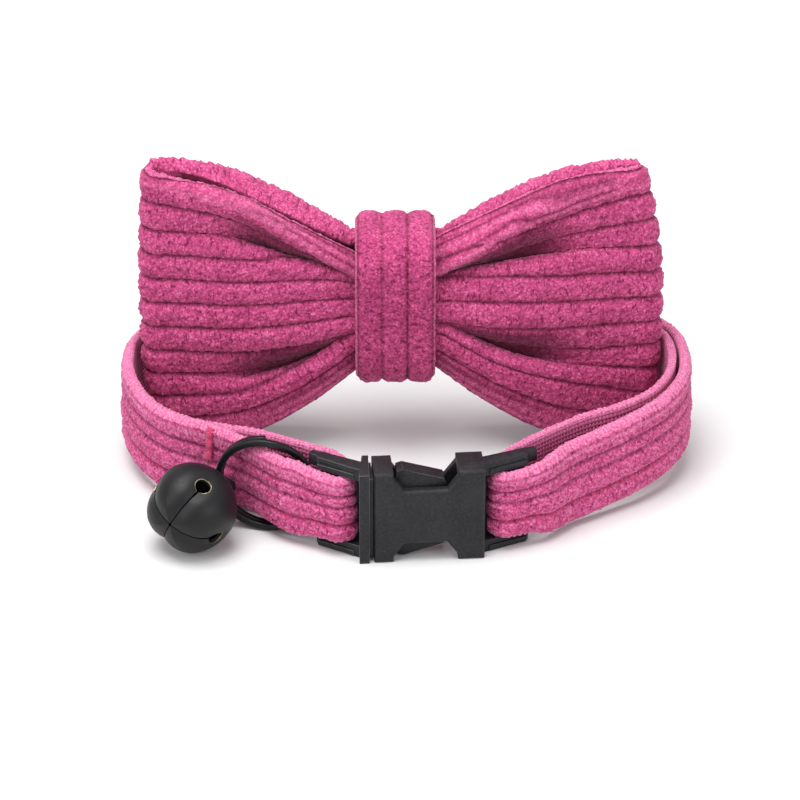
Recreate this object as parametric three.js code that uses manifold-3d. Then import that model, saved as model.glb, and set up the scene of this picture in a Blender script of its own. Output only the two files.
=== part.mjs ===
// Cat collar: corduroy strap and bow, side-release buckle, split ring and petal bell
import * as THREE from "three";
import Module from "manifold-3d";
import { mergeVertices } from "three/addons/utils/BufferGeometryUtils.js";

const wasm = await Module();
wasm.setup();

// Cloth, in millimetres: one rib of the corduroy, the woven ground and the rib standing on it
const WALE = 4.24;
const CLOTH = 1.3;
const RIB = 0.7;
const RIB_STEPS = 3;
const GAP = 0.3;

// Strap: free width, and the width where it is squeezed through a buckle frame or the ring
const STRAP_WALES = 3;
const STRAP_WIDE = STRAP_WALES * WALE + 0.5;
const STRAP_IN_FRAME = 10.4;
const STRAP_IN_RING = 11.2;
const STRAP_STEPS = 2;

// Bow: reach to either side, height at the ends, height at the knot, where it stands
const BOW_LEFT = 39.2;
const BOW_RIGHT = 40.6;
const BOW_WALES = 11;
const BOW_HIGH = BOW_WALES * WALE;
const BOW_PINCHED = 21.2;
const BOW_X = 1.7;
const BOW_Y = 25.3;
const BOW_Z = BOW_HIGH / 2 + 0.43;
const BOW_TURN = THREE.MathUtils.degToRad(-4.5);
const KNOT_RISE = 1.35;
const FOLD_HALF = 3;
const FOLD_ROUND = 2.6;
const PLEAT_DEEP = 3.6;
const KNOT_WALES = 3;
const KNOT_WIDE = KNOT_WALES * WALE - 0.1;

// Buckle: housing, frame arms and strap bars
const BUCKLE_HIGH = 15.2;
const BUCKLE_DEEP = 6.4;
const HOUSING_LONG = 16.7;
const HOUSING_X = -5.1;
const BUCKLE_Y = -11.4;
const ARM_LONG = 7.6;
const ARM_HIGH = 2;
const BAR_FROM = 3.9;
const BAR_TO = 6.6;
const BAR_THICK = 1.6;
const FLANGE_X = HOUSING_X - 1.85;
const MALE_BEND = THREE.MathUtils.degToRad(36);
const FEMALE_BEND = THREE.MathUtils.degToRad(22);

// Split ring and bell
const RING_RADIUS = 7.25;
const RING_WIRE = 1.1;
const RING_COIL = 0.95;
const RING_PITCH = 1.03;
const BELL_RADIUS = 6.9;
const BELL_SHEET = 0.55;
const BELL_SLIT = 0.45;
const BELL_HOLE = 1.35;
const EYE_RADIUS = 2;
const EYE_WIRE = 0.42;
const BALL_RADIUS = 2;

const UP = new THREE.Vector3(0, 0, 1);

// Materials as they look in daylight
function cloth(color) {
  return new THREE.MeshStandardMaterial({ color, roughness: 0.95, metalness: 0 });
}
function moulding(color) {
  return new THREE.MeshStandardMaterial({ color, roughness: 0.5, metalness: 0 });
}
function paintedMetal(color) {
  return new THREE.MeshStandardMaterial({ color, roughness: 0.42, metalness: 0.55 });
}

// Closed skin over a row of rings; a loop joins last to first, an open row gets two end faces
function skin(rings, loop, endFace) {
  const around = rings[0].length;
  const index = [];
  const steps = loop ? rings.length : rings.length - 1;
  for (let i = 0; i < steps; i += 1) {
    const a = i * around;
    const b = ((i + 1) % rings.length) * around;
    for (let k = 0; k < around; k += 1) {
      const n = (k + 1) % around;
      index.push(a + k, b + k, b + n, a + k, b + n, a + n);
    }
  }
  if (!loop) {
    const far = (rings.length - 1) * around;
    for (const [p, q, r] of THREE.ShapeUtils.triangulateShape(endFace, [])) {
      index.push(p, q, r, far + p, far + r, far + q);
    }
  }
  const geometry = new THREE.BufferGeometry();
  const numbers = rings.flat().flatMap((p) => [p.x, p.y, p.z]);
  geometry.setAttribute("position", new THREE.Float32BufferAttribute(numbers, 3));
  geometry.setIndex(index);
  if (solid(geometry).volume() < 0) {
    geometry.setIndex(index.reverse());
  }
  geometry.computeVertexNormals();
  return geometry;
}

// Solids for cutting and joining
function solid(geometry) {
  const bare = new THREE.BufferGeometry();
  const whole = geometry.index ? geometry.toNonIndexed() : geometry;
  bare.setAttribute("position", whole.getAttribute("position"));
  const merged = mergeVertices(bare, 1e-4);
  return new wasm.Manifold(
    new wasm.Mesh({
      numProp: 3,
      vertProperties: merged.getAttribute("position").array,
      triVerts: new Uint32Array(merged.index.array),
    }),
  );
}
function join(geometries) {
  return geometries.map(solid).reduce((whole, piece) => whole.add(piece));
}
function shapeOf(made) {
  const mesh = made.getMesh();
  const geometry = new THREE.BufferGeometry();
  geometry.setAttribute("position", new THREE.Float32BufferAttribute(mesh.vertProperties, 3));
  geometry.setIndex(new THREE.Uint32BufferAttribute(mesh.triVerts, 1));
  const flat = geometry.toNonIndexed();
  flat.computeVertexNormals();
  return flat;
}
function box(x0, x1, y0, y1, z0, z1) {
  const geometry = new THREE.BoxGeometry(x1 - x0, y1 - y0, z1 - z0);
  return geometry.translate((x0 + x1) / 2, (y0 + y1) / 2, (z0 + z1) / 2);
}
// Outline of x and z pushed through the depth, centred on y = 0
function platePrism(outline, deep, bevel) {
  const shape = new THREE.Shape(outline.map(([x, z]) => new THREE.Vector2(x, z)));
  const geometry = new THREE.ExtrudeGeometry(shape, {
    depth: deep - 2 * bevel,
    bevelEnabled: bevel > 0,
    bevelThickness: bevel,
    bevelSize: bevel,
    bevelOffset: -bevel,
    bevelSegments: 1,
  });
  return geometry.rotateX(Math.PI / 2).translate(0, deep / 2 - bevel, 0);
}
// Outline of x and y pushed upwards
function floorPrism(outline, z0, z1) {
  const shape = new THREE.Shape(outline.map(([x, y]) => new THREE.Vector2(x, y)));
  const geometry = new THREE.ExtrudeGeometry(shape, { depth: z1 - z0, bevelEnabled: false });
  return geometry.translate(0, 0, z0);
}

// Ribbed wall in section: up the ribbed side, then down the plain side
function wallSection(wales, plainSteps) {
  const points = [];
  const steps = wales * RIB_STEPS;
  for (let k = 0; k <= steps; k += 1) {
    const part = (k / RIB_STEPS) % 1;
    points.push({ across: (2 * k) / steps - 1, rib: Math.sqrt(4 * part * (1 - part)), ground: 1 });
  }
  for (let k = plainSteps; k >= 0; k -= 1) {
    points.push({ across: (2 * k) / plainSteps - 1, rib: 0, ground: -1 });
  }
  return points;
}

// Strap round a buckle bar: distance along the arm, distance behind its middle, width, share of the ribs
const BAR_TURN = [
  { along: 9.6, off: -1.9, wide: 12.4, pile: 1 },
  { along: 7.6, off: -1.8, wide: STRAP_IN_FRAME, pile: 1 },
  { along: 5.2, off: -1.8, wide: STRAP_IN_FRAME, pile: 1 },
  { along: 3.1, off: -1.6, wide: STRAP_IN_FRAME, pile: 1 },
  { along: 2.0, off: -0.3, wide: STRAP_IN_FRAME, pile: 1 },
  { along: 2.7, off: 1.5, wide: STRAP_IN_FRAME, pile: 0.5 },
  { along: 4.4, off: 3.0, wide: STRAP_IN_FRAME, pile: 0 },
  { along: 7.0, off: 3.9, wide: 12, pile: 0 },
];
function barTurn(flangeX, side, bend) {
  return BAR_TURN.map(({ along, off, wide, pile }) => ({
    x: flangeX + side * (along * Math.cos(bend) - off * Math.sin(bend)),
    y: BUCKLE_Y + along * Math.sin(bend) + off * Math.cos(bend),
    z: BUCKLE_HIGH / 2,
    wide,
    pile,
  }));
}

// Rest of the strap: middle of its ground, height of its middle, width
const SEWN_END = [
  { x: -30.2, y: 7.3, z: 6.9, wide: STRAP_WIDE },
  { x: -26.6, y: 5.4, z: 7.1, wide: STRAP_WIDE },
  { x: -22.0, y: 2.9, z: 7.4, wide: STRAP_WIDE },
  { x: -17.6, y: 0.2, z: 7.4, wide: STRAP_WIDE },
  { x: -13.7, y: -2.2, z: 7.5, wide: 12.6 },
];
const ROUND_THE_LOOP = [
  { x: -18.4, y: -5.6, z: 7.9, wide: 11.4 },
  { x: -20.9, y: -2.6, z: 8.0, wide: STRAP_IN_RING },
  { x: -23.4, y: 0.7, z: 8.0, wide: STRAP_IN_RING },
  { x: -26.4, y: 3.4, z: 7.8, wide: 12.4 },
  { x: -29.8, y: 5.3, z: 7.9, wide: STRAP_WIDE },
  { x: -33.2, y: 7.0, z: 8.2, wide: STRAP_WIDE },
  { x: -36.2, y: 9.6, z: 8.5, wide: STRAP_WIDE },
  { x: -38.8, y: 14.2, z: 8.8, wide: STRAP_WIDE },
  { x: -40.4, y: 20.0, z: 9.0, wide: STRAP_WIDE },
  { x: -40.7, y: 25.8, z: 9.2, wide: STRAP_WIDE },
  { x: -39.4, y: 31.0, z: 9.8, wide: STRAP_WIDE },
  { x: -35.0, y: 34.4, z: 11.4, wide: STRAP_WIDE },
  { x: -25.0, y: 34.0, z: 15.8, wide: STRAP_WIDE },
  { x: -12.0, y: 31.4, z: 21.2, wide: STRAP_WIDE },
  { x: BOW_X - 6, y: 29.85, z: 23.6, wide: 12.4 },
  { x: BOW_X + 6, y: 28.9, z: 23.8, wide: 12.4 },
  { x: 15.0, y: 29.6, z: 21.8, wide: STRAP_WIDE },
  { x: 28.0, y: 30.6, z: 16.2, wide: STRAP_WIDE },
  { x: 38.0, y: 30.6, z: 12.2, wide: STRAP_WIDE },
  { x: 43.2, y: 28.9, z: 11.0, wide: STRAP_WIDE },
  { x: 45.7, y: 25.4, z: 10.7, wide: STRAP_WIDE },
  { x: 46.5, y: 20.6, z: 10.4, wide: STRAP_WIDE },
  { x: 46.2, y: 15.6, z: 10.2, wide: STRAP_WIDE },
  { x: 44.8, y: 10.2, z: 10.0, wide: STRAP_WIDE },
  { x: 41.6, y: 5.0, z: 9.6, wide: STRAP_WIDE },
  { x: 36.8, y: 0.8, z: 9.0, wide: STRAP_WIDE },
  { x: 31.0, y: -2.6, z: 8.2, wide: STRAP_WIDE },
  { x: 25.4, y: -5.8, z: 7.7, wide: STRAP_WIDE },
];
const TURNED_BACK = [
  { x: 22.8, y: -1.2, z: 7.7, wide: STRAP_WIDE },
  { x: 28.4, y: 1.8, z: 8.2, wide: STRAP_WIDE },
  { x: 34.6, y: 3.6, z: 8.9, wide: STRAP_WIDE },
  { x: 39.6, y: 6.4, z: 9.6, wide: STRAP_WIDE },
  { x: 42.9, y: 11.0, z: 10.0, wide: STRAP_WIDE },
  { x: 44.4, y: 15.9, z: 10.2, wide: STRAP_WIDE },
  { x: 44.75, y: 20.4, z: 10.4, wide: STRAP_WIDE },
  { x: 44.0, y: 24.4, z: 10.7, wide: STRAP_WIDE },
  { x: 41.8, y: 27.5, z: 11.0, wide: STRAP_WIDE },
  { x: 38.0, y: 28.8, z: 12.2, wide: STRAP_WIDE },
];

// Strap swept along its rows, ribs away from the neck side
function strapGeometry() {
  const rows = [
    ...SEWN_END.map((row) => ({ ...row, pile: 0 })),
    ...barTurn(FLANGE_X, -1, MALE_BEND).reverse(),
    ...ROUND_THE_LOOP.map((row) => ({ ...row, pile: 1 })),
    ...barTurn(HOUSING_X + HOUSING_LONG, 1, FEMALE_BEND),
    ...TURNED_BACK.map((row) => ({ ...row, pile: 0 })),
  ];
  const line = new THREE.CatmullRomCurve3(rows.map(({ x, y, z }) => new THREE.Vector3(x, y, z)));
  const section = wallSection(STRAP_WALES, 1);
  const rings = [];
  const last = (rows.length - 1) * STRAP_STEPS;
  for (let i = 0; i <= last; i += 1) {
    const row = Math.min(Math.floor(i / STRAP_STEPS), rows.length - 2);
    const part = i / STRAP_STEPS - row;
    const wide = THREE.MathUtils.lerp(rows[row].wide, rows[row + 1].wide, part);
    const pile = THREE.MathUtils.lerp(rows[row].pile, rows[row + 1].pile, part);
    const middle = line.getPoint(i / last);
    const ahead = line.getTangent(i / last);
    const tall = UP.clone().addScaledVector(ahead, -UP.dot(ahead)).normalize();
    const out = tall.clone().cross(ahead).normalize();
    rings.push(
      section.map(({ across, rib, ground }) =>
        middle
          .clone()
          .addScaledVector(tall, (across * wide) / 2)
          .addScaledVector(out, (ground * CLOTH) / 2 + RIB * rib * pile),
      ),
    );
  }
  const endFace = section.map(
    ({ across, ground }) => new THREE.Vector2((ground * CLOTH) / 2, (across * STRAP_WIDE) / 2),
  );
  return skin(rings, false, endFace);
}

// Pleats of the bow's front: place across the cloth, its height share at the knot, how far it stands out
const PLEATS = [
  { cloth: -1, pinch: -0.92, out: 0.65 },
  { cloth: -0.72, pinch: -0.68, out: 0.7 },
  { cloth: -0.46, pinch: -0.46, out: 0.05 },
  { cloth: -0.28, pinch: -0.32, out: 0.8 },
  { cloth: -0.04, pinch: -0.06, out: 1 },
  { cloth: 0.24, pinch: 0.2, out: 0.8 },
  { cloth: 0.5, pinch: 0.36, out: 0 },
  { cloth: 0.8, pinch: 0.54, out: 0.6 },
  { cloth: 1, pinch: 0.62, out: 0.9 },
];
function pleatAt(across) {
  let row = 0;
  while (row < PLEATS.length - 2 && across > PLEATS[row + 1].cloth) {
    row += 1;
  }
  const a = PLEATS[row];
  const b = PLEATS[row + 1];
  const part = (across - a.cloth) / (b.cloth - a.cloth);
  const ease = part * part * (3 - 2 * part);
  return {
    pinch: THREE.MathUtils.lerp(a.pinch, b.pinch, part),
    out: THREE.MathUtils.lerp(a.out, b.out, ease),
  };
}

// How strongly the bow is gathered at a share of its half width
function gathered(share) {
  const open = THREE.MathUtils.clamp((share - 0.2) / 0.8, 0, 1);
  return Math.pow(1 - open, 1.6);
}

// Middle of the bow's wall: share of the half width, front or back, angle round an end fold
function bowPoint(station, across) {
  const { share, face, turn } = station;
  const hold = gathered(Math.abs(share));
  const side = Math.sign(share) || 1;
  const high = THREE.MathUtils.lerp(BOW_HIGH, BOW_PINCHED, hold) / 2;
  const top = side > 0 ? 4 : 1.8;
  const inward = across > 0 ? top * across * across : 5.2 * Math.pow(across, 4);
  const reach = (side > 0 ? BOW_RIGHT : BOW_LEFT) - inward - FOLD_ROUND;
  const fold = Math.sin(turn) * FOLD_ROUND;
  const puff = 1.4 * Math.sin(Math.PI * Math.min(Math.abs(share), 1)) * (1 - hold);
  const half = THREE.MathUtils.lerp(FOLD_HALF, 1, hold);
  const pleat = pleatAt(across);
  if (face === "front") {
    const level = THREE.MathUtils.lerp(across, pleat.pinch, hold);
    const soft = Math.pow(hold, 0.7);
    return new THREE.Vector3(
      share * reach + side * fold,
      -(half + puff) * Math.cos(turn) - PLEAT_DEEP * soft * pleat.out,
      high * level + KNOT_RISE * hold,
    );
  }
  return new THREE.Vector3(
    share * reach + side * fold,
    -half * Math.cos(turn) + hold * 0.5 * (1 + Math.cos(3 * Math.PI * across)),
    high * across + KNOT_RISE * hold,
  );
}

// Stations round the bow: across the front, round one end, back along the rear, round the other end
const FRONT_SHARES = [0, 0.08, 0.15, 0.2, 0.26, 0.33, 0.41, 0.5, 0.6, 0.71, 0.83, 0.94];
const REAR_SHARES = [0, 0.2, 0.27, 0.37, 0.5, 0.68, 0.88];
const FOLD_TURNS = [0, 0.2, 0.4, 0.6, 0.8, 1];
function bowStations() {
  const front = FRONT_SHARES.map((share) => ({ share, face: "front", turn: 0 }));
  const rear = REAR_SHARES.map((share) => ({ share, face: "rear", turn: Math.PI }));
  const fold = FOLD_TURNS.map((part) => ({
    share: 1,
    face: part < 0.5 ? "front" : "rear",
    turn: part * Math.PI,
  }));
  const right = [...front.slice(1), ...fold, ...rear.slice(1).reverse()];
  const left = right.map((station) => ({ ...station, share: -station.share })).reverse();
  return [front[0], ...right, rear[0], ...left];
}
function bowGeometry() {
  const stations = bowStations();
  const section = wallSection(BOW_WALES, BOW_WALES);
  const count = stations.length;
  const rings = stations.map((station, i) => {
    const before = stations[(i + count - 1) % count];
    const after = stations[(i + 1) % count];
    const ribs = 1 - 0.6 * gathered(Math.abs(station.share));
    return section.map(({ across, rib, ground }) => {
      const nudge = 0.02;
      const along = bowPoint(after, across).sub(bowPoint(before, across));
      const upper = bowPoint(station, Math.min(across + nudge, 1));
      const rise = upper.sub(bowPoint(station, Math.max(across - nudge, -1)));
      const out = along.cross(rise).normalize();
      return bowPoint(station, across).addScaledVector(out, (ground * CLOTH) / 2 + RIB * rib * ribs);
    });
  });
  return skin(rings, true);
}

// Knot band: rounded loop round the bow's middle and the strap behind it
const KNOT_HALF_DEEP = 6.7;
const KNOT_BACK = -0.15;
const KNOT_HALF_HIGH = BOW_PINCHED / 2 + 2 * GAP + CLOTH / 2;
const KNOT_STEPS = 32;
function knotGeometry() {
  const section = wallSection(KNOT_WALES, 1);
  const rings = [];
  const place = (turn) => {
    const c = Math.cos(turn);
    const s = Math.sin(turn);
    const soft = Math.pow(Math.pow(c, 4) + Math.pow(s, 4), 0.25);
    return new THREE.Vector3(0, (KNOT_HALF_DEEP * c) / soft, (KNOT_HALF_HIGH * s) / soft);
  };
  for (let i = 0; i < KNOT_STEPS; i += 1) {
    const turn = (2 * Math.PI * i) / KNOT_STEPS;
    const ahead = place(turn + 0.02).sub(place(turn - 0.02)).normalize();
    const out = new THREE.Vector3(0, ahead.z, -ahead.y);
    rings.push(
      section.map(({ across, rib, ground }) => {
        const point = place(turn).addScaledVector(out, (ground * CLOTH) / 2 + RIB * rib);
        point.x = (across * KNOT_WIDE) / 2;
        return point;
      }),
    );
  }
  return skin(rings, true);
}

// Two bent arms and the strap bar between them, from the flange outwards
function frameParts(flangeX, side, bend) {
  const arm = [
    [-0.5, -1.25],
    [ARM_LONG - 0.7, -1.05],
    [ARM_LONG, -0.5],
    [ARM_LONG, 0.8],
    [-0.5, 1.25],
  ];
  const parts = [
    floorPrism(arm, 0, ARM_HIGH),
    floorPrism(arm, BUCKLE_HIGH - ARM_HIGH, BUCKLE_HIGH),
    box(BAR_FROM, BAR_TO, -BAR_THICK / 2, BAR_THICK / 2, 1, BUCKLE_HIGH - 1),
  ];
  const turn = side > 0 ? bend : Math.PI - bend;
  return parts.map((part) => {
    const placed = side > 0 ? part : part.rotateX(Math.PI).translate(0, 0, BUCKLE_HIGH);
    return placed.rotateZ(turn).translate(flangeX, 0, 0);
  });
}

// Housing: H-shaped face with a window above and below, hollow for the prongs
const BLOCK_LEFT = 2.9;
const BLOCK_RIGHT = 4;
const WINDOW_STEP = 0.9;
const WINDOW_DEEP = 3.1;
const WINDOW_SLOPE = 1.65;
const CAVITY_HALF = 1.75;
const CAVITY_EDGE = 2;
function femaleGeometry() {
  const right = HOUSING_LONG - BLOCK_RIGHT;
  const lower = [
    [0, 0],
    [BLOCK_LEFT, 0],
    [BLOCK_LEFT, WINDOW_STEP],
    [BLOCK_LEFT + WINDOW_SLOPE, WINDOW_DEEP],
    [right - WINDOW_SLOPE, WINDOW_DEEP],
    [right, WINDOW_STEP],
    [right, 0],
    [HOUSING_LONG, 0],
  ];
  const upper = lower.map(([x, z]) => [x, BUCKLE_HIGH - z]).reverse();
  const plate = platePrism([...lower, ...upper], BUCKLE_DEEP, 0.3);
  const cavity = box(
    -1,
    right + 0.8,
    -CAVITY_HALF,
    CAVITY_HALF,
    CAVITY_EDGE,
    BUCKLE_HIGH - CAVITY_EDGE,
  );
  const slot = box(BLOCK_LEFT, right, -CAVITY_HALF, CAVITY_HALF, -1, BUCKLE_HIGH + 1);
  const housing = solid(plate).subtract(solid(cavity)).subtract(solid(slot));
  const frame = join(frameParts(HOUSING_LONG, 1, FEMALE_BEND));
  return shapeOf(housing.add(frame));
}

// Plug: flange, middle guide and two sprung prongs with their catches in the windows
const PRONG_HALF = 1.4;
function maleGeometry() {
  const flange = [
    [-2.3, -BUCKLE_DEEP / 2],
    [-0.75, -BUCKLE_DEEP / 2],
    [-0.45, BUCKLE_DEEP / 2],
    [-1.45, BUCKLE_DEEP / 2],
  ];
  const prong = [
    [-1, 9.4],
    [5, 9.4],
    [10.7, 11.3],
    [11, 12.2],
    [10.6, 13.2],
    [4.4, 15],
    [3.5, 14.7],
    [3.2, 11.6],
    [-1, 11.6],
  ];
  const mirrored = prong.map(([x, z]) => [x, BUCKLE_HIGH - z]).reverse();
  const plug = [
    floorPrism(flange, 0, BUCKLE_HIGH),
    box(-1, 8.5, -PRONG_HALF, PRONG_HALF, 6.6, BUCKLE_HIGH - 6.6),
    platePrism(prong, 2 * PRONG_HALF, 0),
    platePrism(mirrored, 2 * PRONG_HALF, 0),
    ...frameParts(FLANGE_X - HOUSING_X, -1, MALE_BEND),
  ];
  return shapeOf(join(plug));
}

// Split ring: flat wire wound nearly twice round, stepping up beside its own end
const RING_STEPS = 44;
const RING_OPEN = 1;
function ringGeometry() {
  const last = 4 * Math.PI - RING_OPEN;
  const a = RING_WIRE / 2;
  const b = RING_COIL / 2;
  const cut = 0.2;
  const section = [
    [a, -b + cut],
    [a, b - cut],
    [a - cut, b],
    [cut - a, b],
    [-a, b - cut],
    [-a, cut - b],
    [cut - a, -b],
    [a - cut, -b],
  ];
  const rings = [];
  for (let i = 0; i <= RING_STEPS; i += 1) {
    const turn = (last * i) / RING_STEPS;
    const step = THREE.MathUtils.smoothstep(turn, 2 * Math.PI - 0.95, 2 * Math.PI - 0.1);
    const level = (step - 0.5) * RING_PITCH;
    rings.push(
      section.map(([r, h]) => {
        const radius = RING_RADIUS + r;
        return new THREE.Vector3(radius * Math.cos(turn), radius * Math.sin(turn), level + h);
      }),
    );
  }
  const endFace = section.map(([r, h]) => new THREE.Vector2(r, h));
  return skin(rings, false, endFace);
}

// Bell: four-lobed hollow ball, slit from its far pole to four round holes, eye on the other pole
const BELL_LOBE = 0.025;
const HOLE_FROM_POLE = THREE.MathUtils.degToRad(76);
function lobedBall(radius) {
  const ball = new THREE.SphereGeometry(radius, 24, 12).rotateX(Math.PI / 2);
  const place = ball.getAttribute("position");
  for (let i = 0; i < place.count; i += 1) {
    const point = new THREE.Vector3().fromBufferAttribute(place, i);
    const flat = Math.hypot(point.x, point.y) / radius;
    const crease = 0.5 + 0.5 * Math.cos(4 * Math.atan2(point.y, point.x));
    const low = THREE.MathUtils.clamp(0.6 - point.z / radius, 0, 1);
    point.multiplyScalar(1 - BELL_LOBE * crease * flat * low);
    place.setXYZ(i, point.x, point.y, point.z);
  }
  return ball;
}
function bellGeometry(eyeAway, eyeTurn) {
  const level = -BELL_RADIUS * Math.cos(HOLE_FROM_POLE);
  const reach = BELL_RADIUS + 1;
  const slit = BELL_SLIT / 2;
  let made = solid(lobedBall(BELL_RADIUS));
  made = made.subtract(solid(lobedBall(BELL_RADIUS - BELL_SHEET)));
  made = made.subtract(solid(box(-reach, reach, -slit, slit, -reach, level)));
  made = made.subtract(solid(box(-slit, slit, -reach, reach, -reach, level)));
  for (let k = 0; k < 4; k += 1) {
    const drill = new THREE.CylinderGeometry(BELL_HOLE, BELL_HOLE, 4, 14);
    drill.translate(0, BELL_RADIUS, 0).rotateX(HOLE_FROM_POLE - Math.PI / 2);
    drill.rotateZ((k * Math.PI) / 2);
    made = made.subtract(solid(drill));
  }
  const eye = new THREE.TorusGeometry(EYE_RADIUS, EYE_WIRE, 8, 20).rotateX(Math.PI / 2);
  return shapeOf(made.add(solid(eye.rotateZ(eyeTurn).translate(0, 0, eyeAway))));
}

// Where the ring and the bell lie
const RING_MIDDLE = new THREE.Vector3(-20.9, -2.6, 8);
const RING_SIDE = new THREE.Vector3(-0.951, 0.309, 0);
const RING_FACE = new THREE.Vector3(-0.309, -0.951, 0);
const BELL_MIDDLE = new THREE.Vector3(-32.3, -7.3, BELL_RADIUS - 0.02);
const BELL_SPIN = THREE.MathUtils.degToRad(24);
const EYE_AT = THREE.MathUtils.degToRad(11);

// Frame turned so that its z runs along one direction and its x leans to another
function turned(zAxis, xHint) {
  const z = zAxis.clone().normalize();
  const x = xHint.clone().addScaledVector(z, -xHint.dot(z)).normalize();
  const y = z.clone().cross(x);
  return new THREE.Quaternion().setFromRotationMatrix(new THREE.Matrix4().makeBasis(x, y, z));
}

function named(name, geometry, material) {
  const mesh = new THREE.Mesh(geometry, material);
  mesh.name = name;
  return mesh;
}

const PINK = 0xc64882;
const BLACK = 0x323235;

const collar = new THREE.Group();
collar.add(named("strap", strapGeometry(), cloth(PINK)));

const bow = new THREE.Group();
bow.position.set(BOW_X, BOW_Y, BOW_Z);
bow.rotation.z = BOW_TURN;
bow.add(named("bow", bowGeometry(), cloth(PINK)));
const knot = named("bow_knot", knotGeometry(), cloth(PINK));
knot.position.set(0, KNOT_BACK, KNOT_RISE);
bow.add(knot);
collar.add(bow);

const buckle = new THREE.Group();
buckle.position.set(HOUSING_X, BUCKLE_Y, 0);
buckle.add(named("buckle_male", maleGeometry(), moulding(BLACK)));
buckle.add(named("buckle_female", femaleGeometry(), moulding(BLACK)));
collar.add(buckle);

const ring = new THREE.Group();
ring.position.copy(RING_MIDDLE);
ring.quaternion.copy(turned(RING_FACE, UP));
ring.add(named("split_ring", ringGeometry(), paintedMetal(0x2b2b2e)));
collar.add(ring);

// Bell axis runs from its middle to the ring wire that the eye holds
const ringFace = RING_FACE.clone().normalize();
const ringSide = RING_SIDE.clone().addScaledVector(ringFace, -RING_SIDE.dot(ringFace)).normalize();
const ringUp = ringSide.clone().cross(ringFace).multiplyScalar(-1);
const held = RING_MIDDLE.clone();
held.addScaledVector(ringSide, RING_RADIUS * Math.cos(EYE_AT));
held.addScaledVector(ringUp, RING_RADIUS * Math.sin(EYE_AT));
const wireAlong = ringUp.clone().multiplyScalar(Math.cos(EYE_AT));
wireAlong.addScaledVector(ringSide, -Math.sin(EYE_AT));
const axis = held.clone().sub(BELL_MIDDLE);
const bell = new THREE.Group();
bell.position.copy(BELL_MIDDLE);
const eyeSide = ringSide.clone().cross(wireAlong);
bell.quaternion.copy(turned(axis, eyeSide.applyAxisAngle(axis.clone().normalize(), BELL_SPIN)));
bell.add(named("bell", bellGeometry(axis.length(), -BELL_SPIN), paintedMetal(0x2f2f31)));
collar.add(bell);
const ball = new THREE.SphereGeometry(BALL_RADIUS, 12, 8);
const clapper = named("bell_ball", ball, paintedMetal(0x8a8a8c));
clapper.position.copy(BELL_MIDDLE);
clapper.position.z = BELL_SHEET + 0.5 + BALL_RADIUS;
collar.add(clapper);

// Stand it over the origin, middle of its box, lowest point on the floor
const whole = new THREE.Box3().setFromObject(collar, true);
const middle = whole.getCenter(new THREE.Vector3());
collar.position.set(-middle.x, -middle.y, -whole.min.z);

const part = new THREE.Group();
part.name = "cat_collar";
part.add(collar);

export default part;
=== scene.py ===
# Cat collar in pink corduroy: pile, weave, stitching, moulded buckle, split ring and petal bell
import math

import bmesh
import bpy
import numpy as np
from mathutils import Matrix, Vector


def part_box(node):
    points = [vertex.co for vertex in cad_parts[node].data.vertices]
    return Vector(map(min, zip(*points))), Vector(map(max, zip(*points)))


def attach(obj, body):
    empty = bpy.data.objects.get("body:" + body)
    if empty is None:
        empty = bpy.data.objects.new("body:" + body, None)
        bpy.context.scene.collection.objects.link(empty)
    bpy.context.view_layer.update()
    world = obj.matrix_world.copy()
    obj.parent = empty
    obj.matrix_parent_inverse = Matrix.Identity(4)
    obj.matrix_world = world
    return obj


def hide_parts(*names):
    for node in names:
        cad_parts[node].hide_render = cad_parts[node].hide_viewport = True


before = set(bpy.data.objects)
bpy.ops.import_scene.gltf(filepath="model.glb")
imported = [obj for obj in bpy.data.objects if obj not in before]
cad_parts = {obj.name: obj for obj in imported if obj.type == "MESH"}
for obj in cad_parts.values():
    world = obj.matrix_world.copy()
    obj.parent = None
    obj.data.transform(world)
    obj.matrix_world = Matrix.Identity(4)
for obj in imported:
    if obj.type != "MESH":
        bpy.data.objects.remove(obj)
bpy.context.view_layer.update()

# Sizes in millimetres, as the solids have them
MM = 0.001
WALE = 4.24
CLOTH = 1.3
RIB = 0.8
OFF_FLOOR = 0.03
SAME_POINT = 0.001
WARP = 0.62
WEFT = 0.36
STRAP_WIDE = 3 * WALE + 0.5
STRAP_IN_FRAME = 10.4
STRAP_IN_RING = 11.2
BOW_LEFT = 39.2
BOW_RIGHT = 40.6
BOW_WALES = 11
BOW_HIGH = BOW_WALES * WALE
BOW_PINCHED = 21.2
BOW_PLACE = (1.7, 25.3, BOW_HIGH / 2 + 0.43)
BOW_TURN = math.radians(-4.5)
KNOT_RISE = 1.35
KNOT_WIDE = 3 * WALE - 0.1
KNOT_HALF_DEEP = 6.7
KNOT_HALF_HIGH = BOW_PINCHED / 2 + 0.6 + CLOTH / 2
KNOT_BACK = -0.15
FOLD_HALF = 3.0
PLEAT_DEEP = 3.6
BUCKLE_HIGH = 15.2
BUCKLE_DEEP = 6.4
BUCKLE_Y = -11.4
HOUSING_X = -5.1
HOUSING_LONG = 16.7
FLANGE_X = HOUSING_X - 1.85
MALE_BEND = math.radians(36)
FEMALE_BEND = math.radians(22)
RING_RADIUS = 7.25
RING_WIRE = 1.1
RING_COIL = 0.95
RING_PITCH = 1.03
BELL_RADIUS = 6.9
BELL_SHEET = 0.55
BELL_SLIT = 0.3
BELL_HOLE = 1.35
EYE_RADIUS = 2.0
EYE_WIRE = 0.42

# Where the drawing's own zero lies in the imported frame, read from the buckle's corner
housing_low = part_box("buckle_female")[0]
ZERO = np.array(housing_low) / MM - np.array((HOUSING_X, BUCKLE_Y - BUCKLE_DEEP / 2, 0))


def in_frame(points):
    return (np.asarray(points) + ZERO) * MM


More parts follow.
